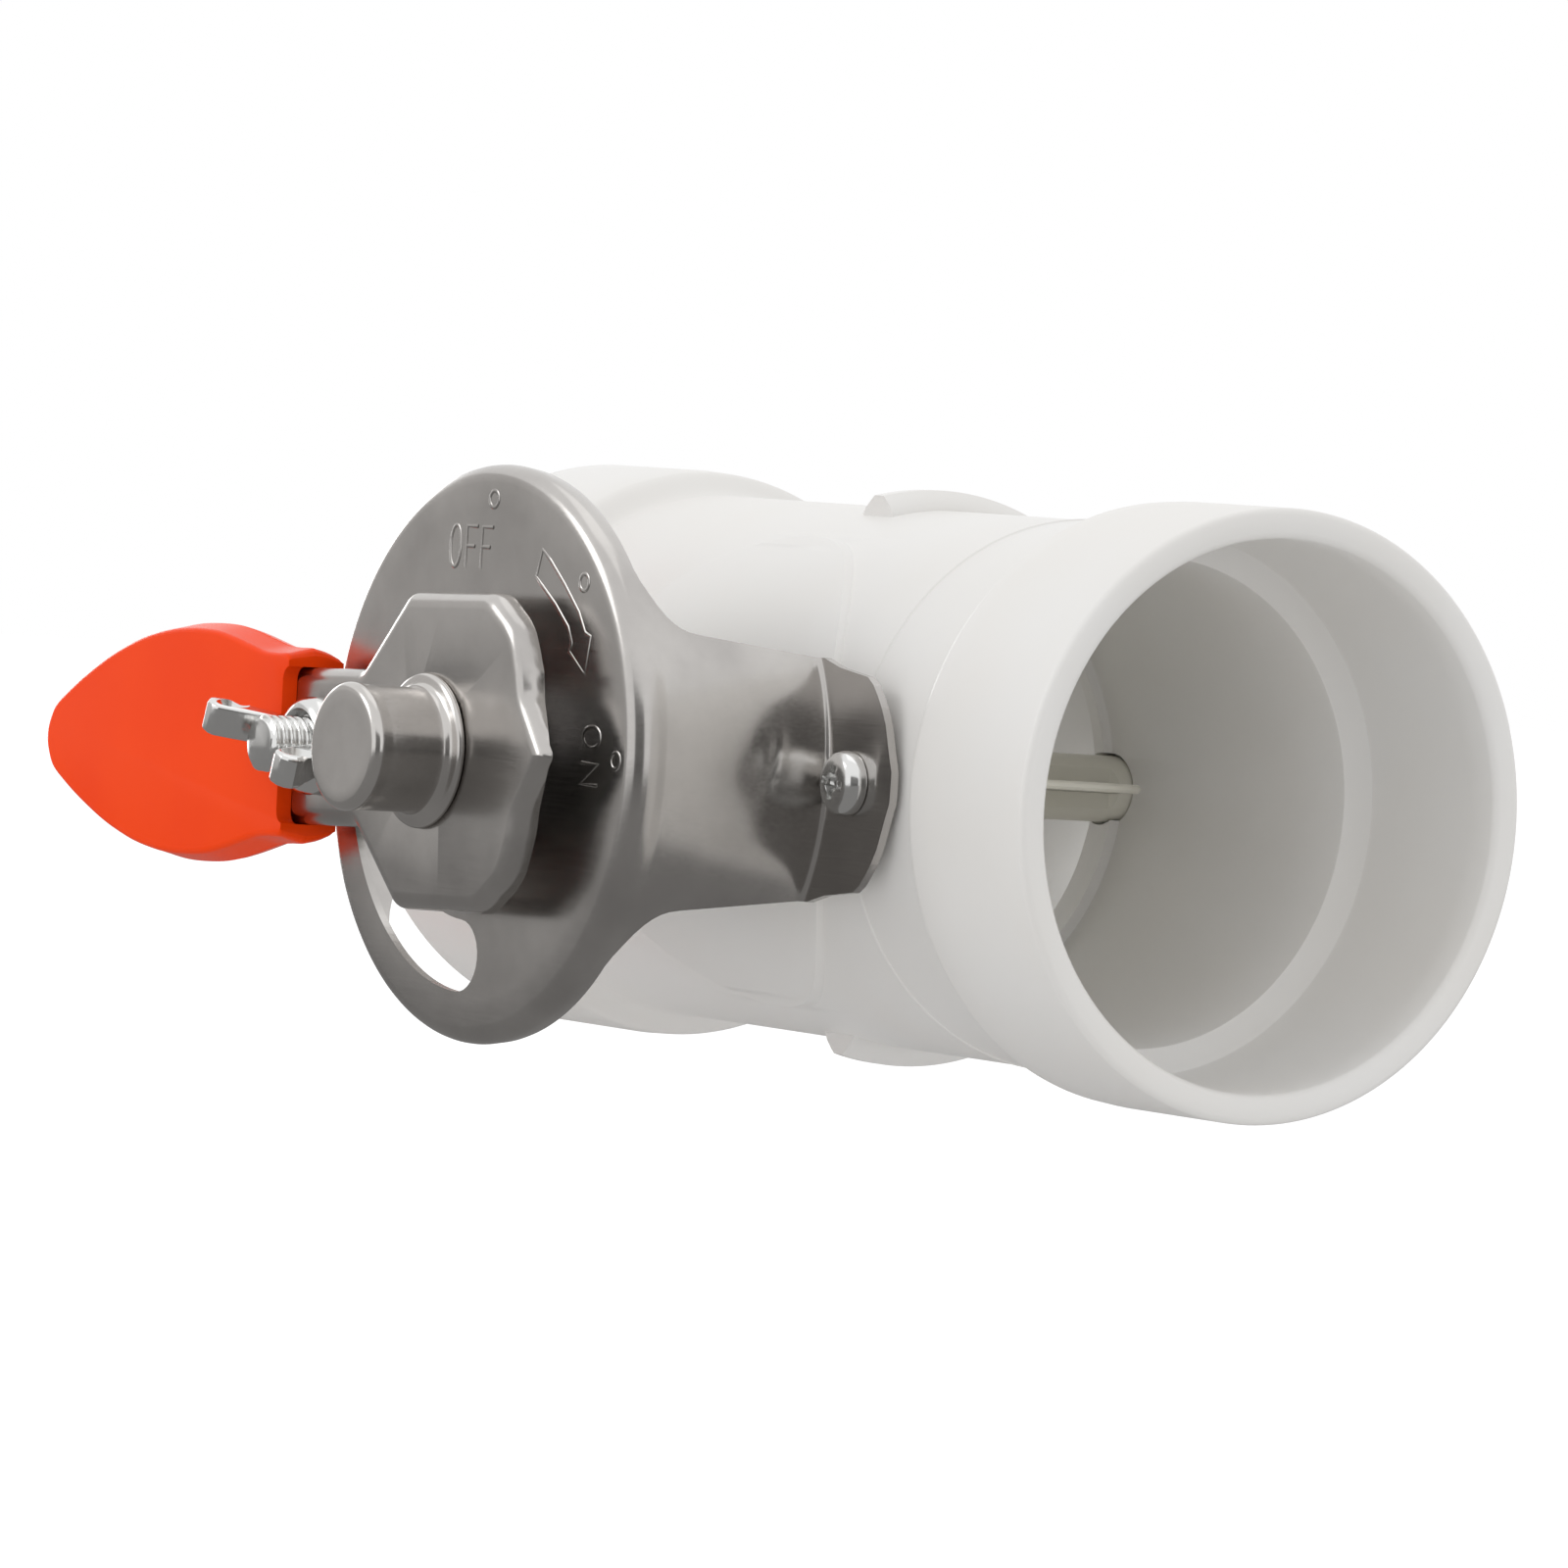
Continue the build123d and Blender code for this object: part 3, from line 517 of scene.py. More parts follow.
def pressDents(piece):
    b = bracket
    footEdge = b["footFront"] - 0.3
    for vertex in piece.data.vertices:
        x, y, z = vertex.co
        if x < b["marksFrom"]:
            continue
        radius = math.hypot(x, z)
        if b["rimBack"] + 6 < y < footEdge:
            depth = sum(d * math.exp(-((y - py) / ry) ** 2 - ((z - pz) / rz) ** 2)
                        for py, pz, ry, rz, d in b["dents"])
            fade = min(1.0, (footEdge - y) / 2.0)
            vertex.co.x -= depth * fade * x / radius
            vertex.co.z -= depth * fade * z / radius
        elif y >= footEdge and x > b["foot"] + 2:
            px, pz, rx, rz, rise = b["swell"]
            vertex.co.y -= rise * math.exp(-((x - px) / rx) ** 2 - ((z - pz) / rz) ** 2)


def bracketProfile():
    # (y, radius) out over the dial's front and down the leg, then back along the inner side
    b = bracket
    t, front, bend, rows = b["sheet"], b["front"], b["bend"], b["legRows"]
    wallTop, wallEnd = b["rimBack"] + 0.4, b["footFront"] - b["footBend"]
    footX = b["foot"] + b["footBend"]

    def wall(s, depth=0.0):
        along = wallTop + (wallEnd - wallTop) * s
        return along, b["rimEnd"] - 0.25 - depth + (b["foot"] - b["rimEnd"] + 0.25) * s

    outer = [(front, r) for r in (b["hole"], *b["faceRadii"])]
    outer += [(y, r) for r, y in arcPoints((b["radius"] - bend, front + bend), bend, -90, 0, 8)]
    outer += [(b["rimBack"] - 0.6, b["rimEnd"] + 0.1)]
    outer += [wall(k / rows) for k in range(rows + 1)]
    outer += [(y, r) for r, y in arcPoints((footX, wallEnd), b["footBend"], 180, 90, 5)][1:]
    steps = b["footRows"]
    spread = [footX + (b["footRadius"] - footX) * k / steps for k in range(1, steps + 1)]
    outer += [(b["footFront"], r) for r in spread]
    back = [(b["footFront"] + t, r) for r in reversed(spread)]
    back += [(y, r) for r, y in arcPoints((footX, wallEnd), b["footBend"] + t, 90, 180, 5)]
    back += [wall(k / rows, t) for k in range(rows - 1, -1, -1)]
    back += [(y, r) for r, y in arcPoints((b["radius"] - bend, front + bend), bend - t, 0, -90, 6)]
    back += [(front + t, r) for r in (*b["faceRadii"][::-1], b["hole"])]
    return outer + back


def slotOutline():
    b = bracket
    centre, half, start, end = b["slotCentre"], b["slotHalf"], b["slotStart"], b["slotEnd"]

    def onCentre(degrees):
        return centre * math.cos(math.radians(degrees)), centre * math.sin(math.radians(degrees))

    outline = arcPoints((0, 0), centre + half, start, end, 32)
    outline += arcPoints(onCentre(end), half, end, end + 180, 14)[1:-1]
    outline += arcPoints((0, 0), centre - half, end, start, 32)
    outline += arcPoints(onCentre(start), half, start + 180, start + 360, 14)[1:-1]
    return outline


def buildBracket():
    b = bracket
    bell = turnedPiece("dialBracket", bracketProfile(), "Y", b["around"], closed=True)
    pressDents(bell)
    # the legs are what is left of the bell between two side cuts
    side = [(b["rimBack"], 60), (b["rimBack"], 27.0)] + b["legSide"]
    cornerTop = b["footFront"] - b["footBend"] + 0.4
    for sign in (1, -1):
        cut(bell, prismPiece("sideCut", [(y, sign * z) for y, z in side], -80, 80, "X"))
        for end in (1, -1):
            corner = [(end * x, sign * z) for x, z in b["footCorner"]]
            cut(bell, prismPiece("cornerCut", corner, cornerTop, -30))
    cut(bell, prismPiece("slotCut", slotOutline(), b["front"] - 2, b["front"] + b["sheet"] + 2))
    for end in (1, -1):
        hole = rodPiece("screwHole", -44, -36, b["screwHole"], "Y", 32)
        cut(bell, movedPiece(hole, Matrix.Translation((end * b["screwAt"], 0, 0))))
    soften(bell, b["edge"], angle=50)
    return bell


dialBracket = buildBracket()
settle(dialBracket, "duct", stainless, ["dial_bracket"], angle=30)
print("dial bracket built")


# the flanged handle plate, drawn with its pointer along +X

plate = {
    "front": -82.6, "back": -79.0, "sheet": 1.5, "bend": 2.35, "bendSteps": 8,
    # the outline about the shaft, clockwise from the neck: along, across, corner radius
    "corners": [(-40, 11.0, 0), (-18.6, 11.0, 2.5), (-7.2, 21.9, 3.2), (14.6, 21.9, 6.0),
                (21.7, 17.2, 9.0), (23.8, 11.5, 12.0), (24.7, 7.8, 6.0), (30.5, 0, 1.4),
                (24.7, -7.8, 6.0), (23.8, -11.5, 12.0), (21.7, -17.2, 9.0), (14.6, -21.9, 6.0),
                (-7.2, -21.9, 3.0), (-18.6, -11.0, 2.5), (-40, -11.0, 0)],
    "cornerSteps": 7, "longestRun": 0.7, "squareHalf": 4.05, "boltHole": 4.4, "edge": 0.12,
    # where it starts, where it ends, half its width and its corner radius
    "tongue": (-38, -74, 8.0, 4),
    # the flange's edge climbs towards the pointer: from, over, by
    "tipRise": (24.2, 5.0, 1.9),
    # the press marks near the pointer: depth, and how much of it shows below the pointer
    "wrinkle": 0.08, "lowerShare": 0.45, "wrinkleFrom": 12, "wrinkleHalf": 20,
    # their waves: size, pace across and down the flange, start
    "waves": [(1.0, 0.9, 0, 0.6), (0.5, 2.3, 1.3, 0), (0.4, 0.5, -1.1, 0)],
}


def splitRuns(outline, parts):
    # each run of the outline in its own number of equal steps
    out = []
    for n, count in enumerate(parts):
        p, q = outline[n], outline[(n + 1) % len(outline)]
        for k in range(count):
            out.append((p[0] + (q[0] - p[0]) * k / count, p[1] + (q[1] - p[1]) * k / count))
    return out


def wrinkled(u, y, w):
    # the pressed flange waves a little where the sheet was gathered round the pointer
    p = plate
    if u > p["wrinkleFrom"] and abs(w) < p["wrinkleHalf"]:
        share = min(1.0, (u - p["wrinkleFrom"]) / 4)
        share *= min(1.0, max(0.0, (y - p["front"] - 0.5) / 1.4))
        wave = sum(size * math.sin(w * across + y * down + start)
                   for size, across, down, start in p["waves"])
        side = 1.0 if w > 0 else p["lowerShare"]
        u -= p["wrinkle"] * share * side * (1.2 + wave)
    return u, y, w


def buildPlate():
    p = plate
    front, bend, sheet, steps = p["front"], p["bend"], p["sheet"], p["bendSteps"]
    base = roundedOutline(p["corners"], p["cornerSteps"])
    parts = [max(1, round(math.dist(a, base[(n + 1) % len(base)]) / p["longestRun"]))
             for n, a in enumerate(base)]

    def ring(inset, level):
        corners = insetCorners(p["corners"], inset)
        spots = splitRuns(roundedOutline(corners, p["cornerSteps"]), parts)
        return [wrinkled(a, level, c) for a, c in spots]

    def inFrontOf(spots, edge, gap):
        # no spot lies further back than the flange's edge
        return [(a, min(y, e[1] - gap), c) for (a, y, c), e in zip(spots, edge)]

    riseFrom, riseOver, rise = p["tipRise"]
    edge = [(a, y - rise * min(1.0, max(0.0, (a - riseFrom) / riseOver)), c)
            for a, y, c in ring(0, p["back"])]
    rings = [edge, inFrontOf(ring(0, p["back"] - 0.6), edge, 0.05)]
    for k in range(steps + 1):
        a = math.radians(90 * k / steps)
        spots = ring(bend * (1 - math.cos(a)), front + bend * (1 - math.sin(a)))
        rings.append(inFrontOf(spots, edge, 0.1))
    panel = ringPiece("handlePlate", rings)
    hollow = [ring(sheet, p["back"] + 2), ring(sheet, front + bend)]
    inner = bend - sheet
    for k in range(1, 5):
        a = math.radians(90 * k / 4)
        level = front + sheet + inner * (1 - math.sin(a))
        hollow.append(ring(sheet + inner * (1 - math.cos(a)), level))
    cut(panel, ringPiece("plateHollow", hollow))
    start, end, half, radius = p["tongue"]
    corners = [(start, half, 0), (end, half, radius), (end, -half, radius), (start, -half, 0)]
    add(panel, prismPiece("tongue", roundedOutline(corners, 6), front, front + sheet))
    square = p["squareHalf"]
    cut(panel, boxPiece("squareHole", (-square, -90, -square), (square, -70, square)))
    hole = rodPiece("boltHole", -90, -70, p["boltHole"], "Y", 40)
    cut(panel, movedPiece(hole, Matrix.Translation((-bracket["slotCentre"], 0, 0))))
    soften(panel, p["edge"], angle=50)
    return panel


handlePlate = buildPlate()
settle(handlePlate, "handle", stainless, ["handle_plate"], turned=True, angle=30)
print("handle plate built")


# hub cap

hub = {
    "front": -96.0, "radius": 8.84, "barrel": 8.6, "round": 1.24, "wall": 0.8, "base": -82.6,
    # the bead at the foot: height over the base, radius beyond the bead's own
    "bead": 10.7, "beadCurve": [(0, -0.5), (0.15, -0.2), (0.35, -0.04), (0.6, 0), (0.85, -0.1),
                                (1.05, -0.34), (1.2, -0.75)],
    # up from the bead to the barrel: height over the base, radius
    "neck": [(1.32, 9.5), (1.5, 9.1), (1.8, 8.82), (2.3, 8.66)],
    # out from the barrel to the cap's shoulder: depth below the front, radius beyond the barrel
    "shoulder": [(3.2, 0), (2.5, 0.05), (1.9, 0.16)],
    # the slightly dished front: depth, radius
    "dish": [(0.02, 6.0), (0.05, 3.0), (0.06, 0)],
}


def buildHub():
    h = hub
    base, front, barrel = h["base"], h["front"], h["barrel"]
    inside = h["radius"] - h["wall"]
    profile = [(front + h["wall"], 0), (front + h["wall"], inside), (base, inside)]
    profile += [(base - rise, h["bead"] + out) for rise, out in h["beadCurve"]]
    profile += [(base - rise, r) for rise, r in h["neck"]]
    profile += [(base - 3.0, barrel), (base - 5.0, barrel)]
    profile += [(front + depth, barrel + out) for depth, out in h["shoulder"]]
    profile += [(y, r) for r, y in
                arcPoints((h["radius"] - h["round"], front + h["round"]), h["round"], 0, -90, 8)]
    profile += [(front + depth, r) for depth, r in h["dish"]]
    return turnedPiece("hubCap", profile, "Y", 128)


hubCap = buildHub()
settle(hubCap, "handle", capSteel, ["hub_cap"], turned=True)
print("hub cap built")


# moulded grip

grip = {
    "front": -85.0, "parting": -80.4, "back": -76.0, "edge": 0.9, "bulge": 0.85, "end": -33.6,
    # half the outline, from the tip to the mouth's end: along, across
    "half": [(-102.0, 0), (-101.6, 2.0), (-100.0, 4.5), (-96.8, 6.5), (-91.7, 9.05),
             (-85.3, 11.75), (-80.0, 13.5), (-74.5, 14.9), (-67.4, 15.95), (-61.2, 16.2),
             (-55.4, 15.95), (-50.6, 15.2), (-46.0, 14.2), (-41.6, 13.25), (-38.5, 13.0),
             (-35.4, 12.95), (-34.4, 12.75), (-33.8, 12.3), (-33.6, 11.6), (-33.6, 8.4)],
    # the rings keep the mouth's end in place: from here their inset grows over this length
    "holdEnd": (-34.6, 5.0),
    # over the front half: the share of the way to the parting line and of the bulge
    "swell": (0.3, 0.6, 0.85),
    # at the parting line and behind it: share of the bulge, distance behind the line
    "seam": [(0.97, -0.18), (0.86, -0.06), (0.86, 0.06), (0.97, 0.18),
             (0.8, 0.9), (0.55, 1.9), (0.2, 2.8)],
    # the rounded back: inset, distance before the back
    "backCurve": [(0.15, 0.9), (0.35, 0.45), (0.7, 0.12), (1.2, 0)],
    "mouth": -35.0, "mouthStart": -10, "mouthRadius": 1.8, "mouthEdge": 0.5,
    # half widths of the neck and of the tongue, each with its pocket: start, end, back
    "neck": 11.05, "neckPocket": (-10, -37.1, -78.95),
    "tongue": 8.05, "tonguePocket": (-34, -74.1, -81.05), "pocketFront": -82.65,
}


def smoothLine(points, steps=6):
    # a curve through the points
    out = []
    for n in range(len(points) - 1):
        p0 = Vector(points[max(n - 1, 0)])
        p1, p2 = Vector(points[n]), Vector(points[n + 1])
        p3 = Vector(points[min(n + 2, len(points) - 1)])
        for k in range(steps):
            t = k / steps
            spot = 0.5 * ((2 * p1) + (p2 - p0) * t + (2 * p0 - 5 * p1 + 4 * p2 - p3) * t * t
                          + (3 * p1 - p0 - 3 * p2 + p3) * t * t * t)
            out.append(tuple(spot))
    out.append(tuple(points[-1]))
    return out


def buildGrip():
    g = grip
    tip, beside = g["half"][:2]
    half = smoothLine([(beside[0], -beside[1])] + g["half"], 6)
    half = [p for p in half if p[1] > 0.02]
    outline = [(tip[0], 0.0)] + half + [(g["end"], 0.0)] + [(a, -c) for a, c in reversed(half)]
    holdFrom, holdOver = g["holdEnd"]

    def ring(inset, level):
        spots = []
        for (a, _), (u, w) in zip(outline, movedIn(outline, inset)):
            share = min(1.0, max(0.0, (holdFrom - a) / holdOver))
            spots.append((a + (u - a) * share, level, w))
        return spots

    edge, bulge = g["edge"], g["bulge"]
    front, parting, back = g["front"], g["parting"], g["back"]
    rings = []
    for k in range(0, 8):
        a = math.radians(90 * k / 7)
        rings.append(ring(edge * (1 - math.sin(a)), front + edge * (1 - math.cos(a))))
    run = parting - front - edge
    rings += [ring(-bulge * share, front + edge + run * share) for share in g["swell"]]
    rings += [ring(-bulge * share, parting + behind) for share, behind in g["seam"]]
    rings += [ring(inset, back - before) for inset, before in g["backCurve"]]
    body = ringPiece("grip", rings)
    start, neck, mouth, radius = g["mouthStart"], g["neck"], g["mouth"], g["mouthRadius"]
    corners = [(start, neck, 0), (start, -neck, 0), (mouth, -neck, radius), (mouth, neck, radius)]
    cut(body, prismPiece("mouth", roundedOutline(corners, 5), front - 1, back + 1))
    soften(body, g["mouthEdge"], 3, 55)
    for name, key in (("neckPocket", "neck"), ("tonguePocket", "tongue")):
        high, low, behind = g[name]
        cut(body, boxPiece(name, (low, g["pocketFront"], -g[key]), (high, behind, g[key])))
    return body


gripPiece = buildGrip()
settle(gripPiece, "handle", orange, ["grip"], turned=True, angle=34)
print("grip built")


# lock bolt and wing nut

lockBolt = {
    "at": -28.0, "radius": 4.0, "core": 3.28, "pitch": 1.25, "end": -92.5, "threadEnd": -77.0,
    # the head behind the dial: its two faces and its radius
    "head": (-70.8, -66.8, 8.0),
    # the ridge's height at its middle and its fall for each turn away from it, in thread depths
    "ridge": (1.35, 3.4), "chamfer": 0.45,
}


def threadPiece(name, bolt, around=40, perTurn=10):
    # a cylinder along y whose radius follows the thread's helix
    low, high, pitch = bolt["end"], bolt["threadEnd"], bolt["pitch"]
    radius, core = bolt["radius"], bolt["core"]
    ridge, fall = bolt["ridge"]
    rows = int((high - low) / pitch * perTurn)
    rings = []
    for r in range(rows + 1):
        y = low + (high - low) * r / rows
        ends = min(y - low, bolt["chamfer"]) / bolt["chamfer"]
        ring = []
        for k in range(around):
            a = 2 * math.pi * k / around
            phase = (y / pitch - k / around) % 1
            rise = max(0.0, min(1.0, ridge - abs(phase - 0.5) * fall))
            size = core + (radius - core) * rise
            size = min(size, core - 0.05 + (radius - core + 0.05) * ends)
            ring.append((size * math.cos(a), y, size * math.sin(a)))
        rings.append(ring)
    return ringPiece(name, rings)


def buildLockBolt():
    b = lockBolt
    back, end, headRadius = b["head"]
    thread = threadPiece("lockBolt", b)
    add(thread, rodPiece("shank", b["threadEnd"] - 0.4, back + 0.2, b["radius"] - 0.01, "Y", 40))
    profile = [(back, 0), (back, headRadius), (end - 1.5, headRadius),
               (end - 0.7, headRadius - 0.5), (end, headRadius - 1.6), (end, 0)]
    add(thread, turnedPiece("head", profile, "Y", 64))
    return movedPiece(thread, Matrix.Translation((b["at"], 0, 0)))


boltPiece = buildLockBolt()
settle(boltPiece, "handle", zinc, ["lock_bolt"], turned=True, angle=38)

wingNut = {
    "face": -83.82, "collar": 6.9, "top": 6.3, "height": 2.4, "bore": 4.06, "angle": 160.6,
    # a wing seen from the side: distance from the bolt, y
    "wing": [(4.9, -84.2), (6.1, -84.7), (6.75, -85.7), (8.4, -87.8), (10.4, -90.1), (12.2, -92.2),
             (12.6, -93.4), (12.2, -94.6), (11.0, -95.4), (9.6, -95.5), (8.5, -95.1), (7.2, -92.5),
             (6.0, -89.6), (4.9, -87.4)],
    "thickness": 4.6, "corner": 0.9, "edge": 0.65,
    # the dish pressed in each side of a wing: section, middle and stretch
    "dish": [(-1.1, 0), (-1.1, 1.3), (0, 2.1), (1.1, 1.3), (1.1, 0)],
    "dishAt": (9.7, -92.0), "dishStretch": (0.85, 1.35, 1.0, 1.0),
}


def roundedSlab(name, corners, half, edge, steps=4):
    # a flat piece about z = 0 with its rim rounded
    rings = []
    for side, order in ((-1, range(steps + 1)), (1, range(steps, -1, -1))):
        for k in order:
            a = math.radians(90 * k / steps)
            level = side * (half - edge * (1 - math.cos(a)))
            outline = roundedOutline(insetCorners(corners, edge * (1 - math.sin(a))), 3)
            rings.append([(x, y, level) for x, y in outline])
    return ringPiece(name, rings)


def buildWingNut():
    n = wingNut
    bore, face, top, collarRadius = n["bore"], n["face"], n["top"], n["collar"]
    high = face - n["height"]
    collar = turnedPiece("wingNut", [
        (face, bore + 0.4), (face, collarRadius - 0.2), (face - 0.3, collarRadius),
        (face - 0.8, collarRadius - 0.05), (face - 1.7, top + 0.25), (high, top - 0.5),
        (high - 0.2, top - 1.1), (high - 0.1, bore + 1.0), (high + 0.5, bore + 0.35),
        (high + 0.9, bore), (face - 0.4, bore)], "Y", 64, True)
    half = n["thickness"] / 2
    corners = [(a, c, n["corner"]) for a, c in n["wing"]]
    for turn in (0, 180):
        wing = roundedSlab("wing", corners, half, n["edge"])
        for side in (1, -1):
            dish = turnedPiece("dish", n["dish"], "Z", 32)
            place = Matrix.Translation((*n["dishAt"], side * (half + 0.2)))
            cut(wing, movedPiece(dish, place @ Matrix.Diagonal(n["dishStretch"])))
        movedPiece(wing, Matrix.Rotation(math.radians(turn), 4, "Y"))
        add(collar, wing)
    cut(collar, rodPiece("nutBore", -100, -80, bore, "Y", 48))
    turned = Matrix.Rotation(math.radians(-n["angle"]), 4, "Y")
    return movedPiece(collar, Matrix.Translation((lockBolt["at"], 0, 0)) @ turned)


nutPiece = buildWingNut()
settle(nutPiece, "wing_nut", zinc, ["wing_nut"], turned=True, angle=34)
print("lock bolt and wing nut built")


# pan head screws in the feet

panScrew = {
    "seat": -40.2, "head": 4.5, "height": 3.1, "core": 1.6, "end": -35.5, "edge": 0.1,
    # the domed head: depth below its top, radius
    "crown": [(0, 1.5), (0.12, 2.6), (0.5, 3.6), (1.1, 4.15), (1.8, 4.42)],
    # the cross recess: length and width of each slot and its depth
    "slot": (4.7, 1.15), "slotDepth": 1.5,
    # the tapered socket in its middle: depth below the top, radius
    "socket": [(-1, 0), (-1, 1.7), (0.1, 1.45), (1.6, 0.75), (1.6, 0)],
    # how far each screw happens to be turned, in degrees
    "frontTurn": 8, "rearTurn": 52,
}


def buildPanScrew(name, side):
    s = panScrew
    seat, headRadius = s["seat"], s["head"]
    top = seat - s["height"]
    profile = [(top, 0)] + [(top + depth, r) for depth, r in s["crown"]]
    profile += [(top + 2.4, headRadius), (seat - 0.15, headRadius - 0.05),
                (seat, headRadius - 0.3), (seat, 0)]
    head = turnedPiece(name, profile, "Y", 72)
    for length, width in (s["slot"], s["slot"][::-1]):
        low = (-length / 2, top - 1, -width / 2)
        cut(head, boxPiece("slot", low, (length / 2, top + s["slotDepth"], width / 2)))
    cut(head, turnedPiece("socket", [(top + depth, r) for depth, r in s["socket"]], "Y", 16))
    soften(head, s["edge"], angle=50)
    add(head, rodPiece("thread", seat - 0.2, s["end"], s["core"], "Y", 32))
    turn = Matrix.Rotation(math.radians(s["frontTurn"] if side > 0 else s["rearTurn"]), 4, "Y")
    return movedPiece(head, Matrix.Translation((side * bracket["screwAt"], 0, 0)) @ turn)


for name, node, side in (("frontScrew", "front_screw", 1), ("rearScrew", "rear_screw", -1)):
    settle(buildPanScrew(name, side), "duct", zinc, [node])
print("foot screws built")


# embossed marks on the dial

marks = {
    "stroke": 0.3, "rise": 0.4, "ringRadius": 1.15, "rings": [(0, 35.1), (24.5, 24.7), (35.5, 1.1)],
    # words: letter, x and z of where it starts, then the letters' width and height
    "off": [("O", -10.6, 25.4), ("F", -6.4, 25.4), ("F", -2.4, 25.4)], "offSize": (2.7, 5.8),
    "on": [("O", 27.0, 5.4), ("N", 27.0, 0.4)], "onSize": (2.9, 4.3),
    "arrow": [(12.2, 24.9), (14.2, 23.6), (17.6, 21.4), (21.2, 18.5), (22.4, 16.4), (21.9, 15.2),
              (26.1, 12.3), (27.1, 17.5), (25.6, 17.9), (23.7, 20.6), (19.6, 24.2), (15.6, 27.3),
              (13.4, 28.7)],
}


def strokePiece(name, lines, stroke):
    # lines: (closed, points in x and z), pressed up from the dial's face
    curve = bpy.data.curves.new(name, "CURVE")
    curve.dimensions = "3D"
    curve.bevel_depth = stroke
    curve.bevel_resolution = 3
    curve.use_fill_caps = True
    for closed, points in lines:
        spline = curve.splines.new("POLY")
        spline.points.add(len(points) - 1)
        for spot, (x, z) in zip(spline.points, points):
            spot.co = (x, 0, z, 1)
        spline.use_cyclic_u = closed
    holder = bpy.data.objects.new(name, curve)
    bpy.context.scene.collection.objects.link(holder)
    depsgraph = bpy.context.evaluated_depsgraph_get()
    mesh = bpy.data.meshes.new_from_object(holder.evaluated_get(depsgraph))
    bpy.data.objects.remove(holder)
    piece = bpy.data.objects.new(name, mesh)
    bpy.context.scene.collection.objects.link(piece)
    flattened = Matrix.Diagonal((1, marks["rise"], 1, 1))
    return movedPiece(piece, Matrix.Translation((0, bracket["front"], 0)) @ flattened)


def circleLine(x, z, radius, count=24):
    turns = [k * math.pi / (count / 2) for k in range(count)]
    return True, [(x + radius * math.cos(a), z + radius * math.sin(a)) for a in turns]


def letterLines(letter, x, z, width, height, turned=False):
    # letters drawn in a unit square; turned ones read down the dial's right side
    shapes = {
        "O": [circleLine(0.5, 0.5, 0.5)],
        "F": [(False, [(0, 0), (0, 1), (1, 1)]), (False, [(0, 0.52), (0.8, 0.52)])],
        "N": [(False, [(0, 0), (0, 1), (1, 0), (1, 1)])],
    }
    out = []
    for closed, points in shapes[letter]:
        drawn = [(a * width, c * height) for a, c in points]
        if turned:
            drawn = [(c, -a) for a, c in drawn]
        out.append((closed, [(x + a, z + c) for a, c in drawn]))
    return out


def buildMarks():
    m = marks
    lines = [circleLine(x, z, m["ringRadius"]) for x, z in m["rings"]]
    for letter, x, z in m["off"]:
        lines += letterLines(letter, x, z, *m["offSize"])
    for letter, x, z in m["on"]:
        lines += letterLines(letter, x, z, *m["onSize"], turned=True)
    lines.append((True, m["arrow"]))
    return strokePiece("dialMarks", lines, m["stroke"])


settle(buildMarks(), "duct", stainless)
print("dial marks built")


# finishes for the solids that stay

solidFinish = {
    "blade": cream, "shaft": cream, "far_cap": whitePvc, "near_ring": rubber, "far_ring": rubber,
    "near_bush": acetal, "dial_bush": acetal, "thrust_washer": acetal,
    "spindle": turnedSteel, "spindle_pin": springSteel, "spring_washer": springSteel,
    "spindle_washer": zinc, "spindle_nut": zinc, "slot_washer": zinc, "lock_spacer": zinc,
    "lock_washer": zinc, "blade_screw_near": zinc, "blade_screw_far": zinc,
}
for node, material in solidFinish.items():
    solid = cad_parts[node]
    solid.data.materials.clear()
    solid.data.materials.append(material)
print("solids finished")


# floor, light and camera

studio = {
    "floorDrop": 60.0, "floorHalf": 6000, "floorThick": 20,
    "floorWhite": 0.78, "floorRoughness": 0.9,
    # only these rays meet the floor's glow and the white world; the others meet the dimmer world
    "floorGlow": 0.48, "worldDiffuse": 0.86,
    "directRays": ("Is Camera Ray", "Is Glossy Ray", "Is Transmission Ray"),
    "lamps": [
        # place, aim, size and watts: key over the left shoulder, the top, the far mouth
        ((-450, -1000, 600), (0, -20, 0), 500, 1.7),
        ((-100, 100, 900), (0, 0, 0), 700, 0.5),
        ((-900, 60, 60), (0, 0, 0), 400, 1.3),
    ],
    # screens only there for the metal to mirror: centre, width, height, glow at foot and head
    "screens": [((1300, -897, 45), 1700, 1300, 0.06, 0.2),
                ((-1245, -834, 0), 1700, 1500, 0.36, 0.6)],
    "screenTint": (1, 0.985, 0.97, 1),
    # the height, below and above the centre, over which the glow changes
    "fade": 170,
    # and one lying over the floor: its level, half its side, its glow
    "lowScreen": (-99, 2000, 0.24),
}


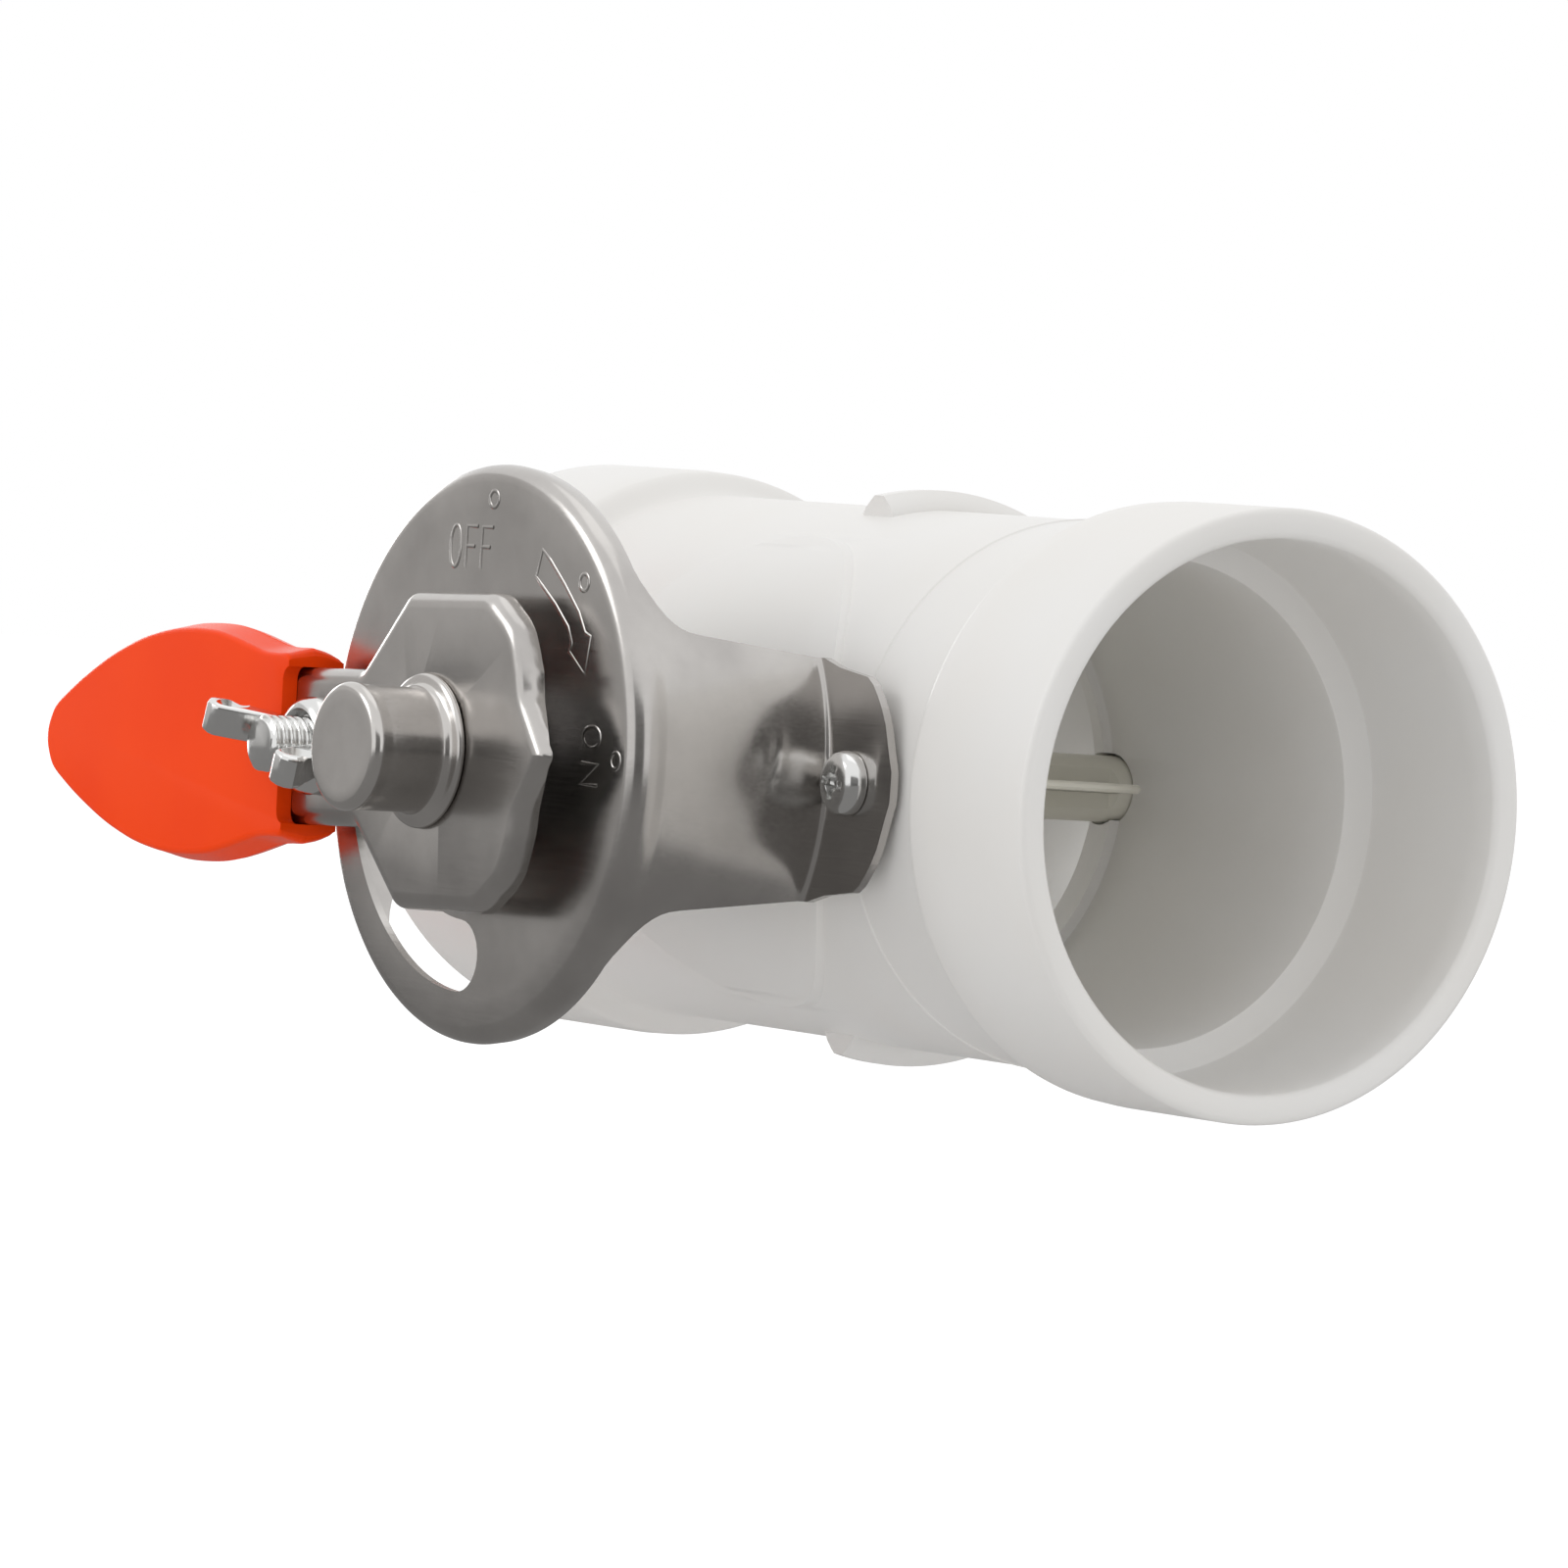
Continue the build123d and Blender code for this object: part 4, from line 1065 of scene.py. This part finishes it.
def hangScreen(screen, low, high):
    screen.data.transform(toFrame())
    grey, shader = newMaterial(screen.name, (0, 0, 0), 1.0)
    shader.inputs["Specular IOR Level"].default_value = 0.0
    shader.inputs["Emission Color"].default_value = studio["screenTint"]
    shader.inputs["Emission Strength"].default_value = low
    if high != low:
        where = addNode(grey, "ShaderNodeTexCoord")
        parts = addNode(grey, "ShaderNodeSeparateXYZ")
        fade = addNode(grey, "ShaderNodeMapRange")
        reach = studio["fade"] / 1000
        span = {"From Min": -reach, "From Max": reach, "To Min": low, "To Max": high}
        for key, value in span.items():
            fade.inputs[key].default_value = value
        wire(grey, where, "Object", parts, "Vector")
        wire(grey, parts, "Z", fade, "Value")
        wire(grey, fade, "Result", shader, "Emission Strength")
    screen.data.materials.append(grey)
    screen.visible_camera = False
    screen.visible_diffuse = False
    screen.visible_shadow = False
    screen.visible_transmission = False


def mixByRay(tree, others, direct, target):
    # direct rays meet one shader and all others the other
    path = tree.nodes.new("ShaderNodeLightPath")
    found = path.outputs[studio["directRays"][0]]
    for kind in studio["directRays"][1:]:
        most = tree.nodes.new("ShaderNodeMath")
        most.operation = "MAXIMUM"
        tree.links.new(found, most.inputs[0])
        tree.links.new(path.outputs[kind], most.inputs[1])
        found = most.outputs[0]
    pick = tree.nodes.new("ShaderNodeMixShader")
    for socket, source in enumerate((found, others, direct)):
        tree.links.new(source, pick.inputs[socket])
    tree.links.new(pick.outputs[0], target.inputs["Surface"])


def buildFloor():
    half, thick = studio["floorHalf"], studio["floorThick"]
    floor = boxPiece("floor", (-half, -half, -thick), (half, half, 0))
    level = cadBounds[0][2] - studio["floorDrop"] / 1000
    floor.data.transform(Matrix.Translation((0, 0, level)) @ Matrix.Scale(0.001, 4))
    white = (studio["floorWhite"],) * 3
    material, shader = newMaterial("paleFloor", white, studio["floorRoughness"])
    shader.inputs["Specular IOR Level"].default_value = 0.0
    tree = material.node_tree
    glow = addNode(material, "ShaderNodeEmission")
    glow.inputs["Strength"].default_value = studio["floorGlow"]
    both = addNode(material, "ShaderNodeAddShader")
    tree.links.new(shader.outputs[0], both.inputs[0])
    tree.links.new(glow.outputs[0], both.inputs[1])
    mixByRay(tree, shader.outputs[0], both.outputs[0], tree.nodes["Material Output"])
    floor.data.materials.append(material)


def buildWorld():
    world = bpy.data.worlds.new("studio")
    bpy.context.scene.world = world
    world.use_nodes = True
    tree = world.node_tree
    ground, white = tree.nodes["Background"], tree.nodes.new("ShaderNodeBackground")
    for shader, strength in ((ground, studio["worldDiffuse"]), (white, 1.0)):
        shader.inputs["Color"].default_value = (1, 1, 1, 1)
        shader.inputs["Strength"].default_value = strength
    mixByRay(tree, ground.outputs[0], white.outputs[0], tree.nodes["World Output"])


def buildLamps():
    for n, (place, aim, size, power) in enumerate(studio["lamps"]):
        lamp = bpy.data.lights.new(f"softLamp{n}", "AREA")
        lamp.shape = "SQUARE"
        lamp.size = size / 1000
        lamp.energy = power
        holder = bpy.data.objects.new(f"softLamp{n}", lamp)
        holder.location = toFrame() @ Vector(place)
        away = holder.location - toFrame() @ Vector(aim)
        holder.rotation_euler = away.to_track_quat("Z", "Y").to_euler()
        bpy.context.scene.collection.objects.link(holder)


def buildScreens():
    for n, (middle, width, height, low, high) in enumerate(studio["screens"]):
        screen = boxPiece(f"screen{n}", (-width / 2, -2, -height / 2), (width / 2, 2, height / 2))
        aim = math.atan2(middle[0], -middle[1])
        movedPiece(screen, Matrix.Translation(middle) @ Matrix.Rotation(aim, 4, "Z"))
        hangScreen(screen, low, high)
    level, half, glow = studio["lowScreen"]
    hangScreen(boxPiece("screenLow", (-half, -half, level - 1), (half, half, level)), glow, glow)


buildFloor()
buildWorld()
buildLamps()
buildScreens()

# where the camera stands in mm, its turn, lift and roll in degrees, and its lens
view = {
    "place": (1092.0, -753.83, 33.24), "turn": 56.21, "lift": 1.53, "roll": 4.19,
    "lens": 214.42, "sensor": 36, "clip": (0.05, 50),
}


def buildCamera():
    turn, lift, roll = (math.radians(view[k]) for k in ("turn", "lift", "roll"))
    right = Vector((math.cos(turn), math.sin(turn), 0))
    flat = math.cos(lift)
    back = Vector((math.sin(turn) * flat, -math.cos(turn) * flat, math.sin(lift)))
    up = back.cross(right)
    across = right * math.cos(roll) + up * math.sin(roll)
    upright = up * math.cos(roll) - right * math.sin(roll)
    data = bpy.data.cameras.new("photoView")
    data.lens = view["lens"]
    data.sensor_width = view["sensor"]
    data.clip_start, data.clip_end = view["clip"]
    holder = bpy.data.objects.new("photoView", data)
    spin = Matrix((across, upright, back)).transposed().to_4x4()
    holder.matrix_world = Matrix.Translation(toFrame() @ Vector(view["place"])) @ spin
    bpy.context.scene.collection.objects.link(holder)
    bpy.context.scene.camera = holder


buildCamera()
bpy.context.scene.view_settings.view_transform = "Standard"
print("studio ready")
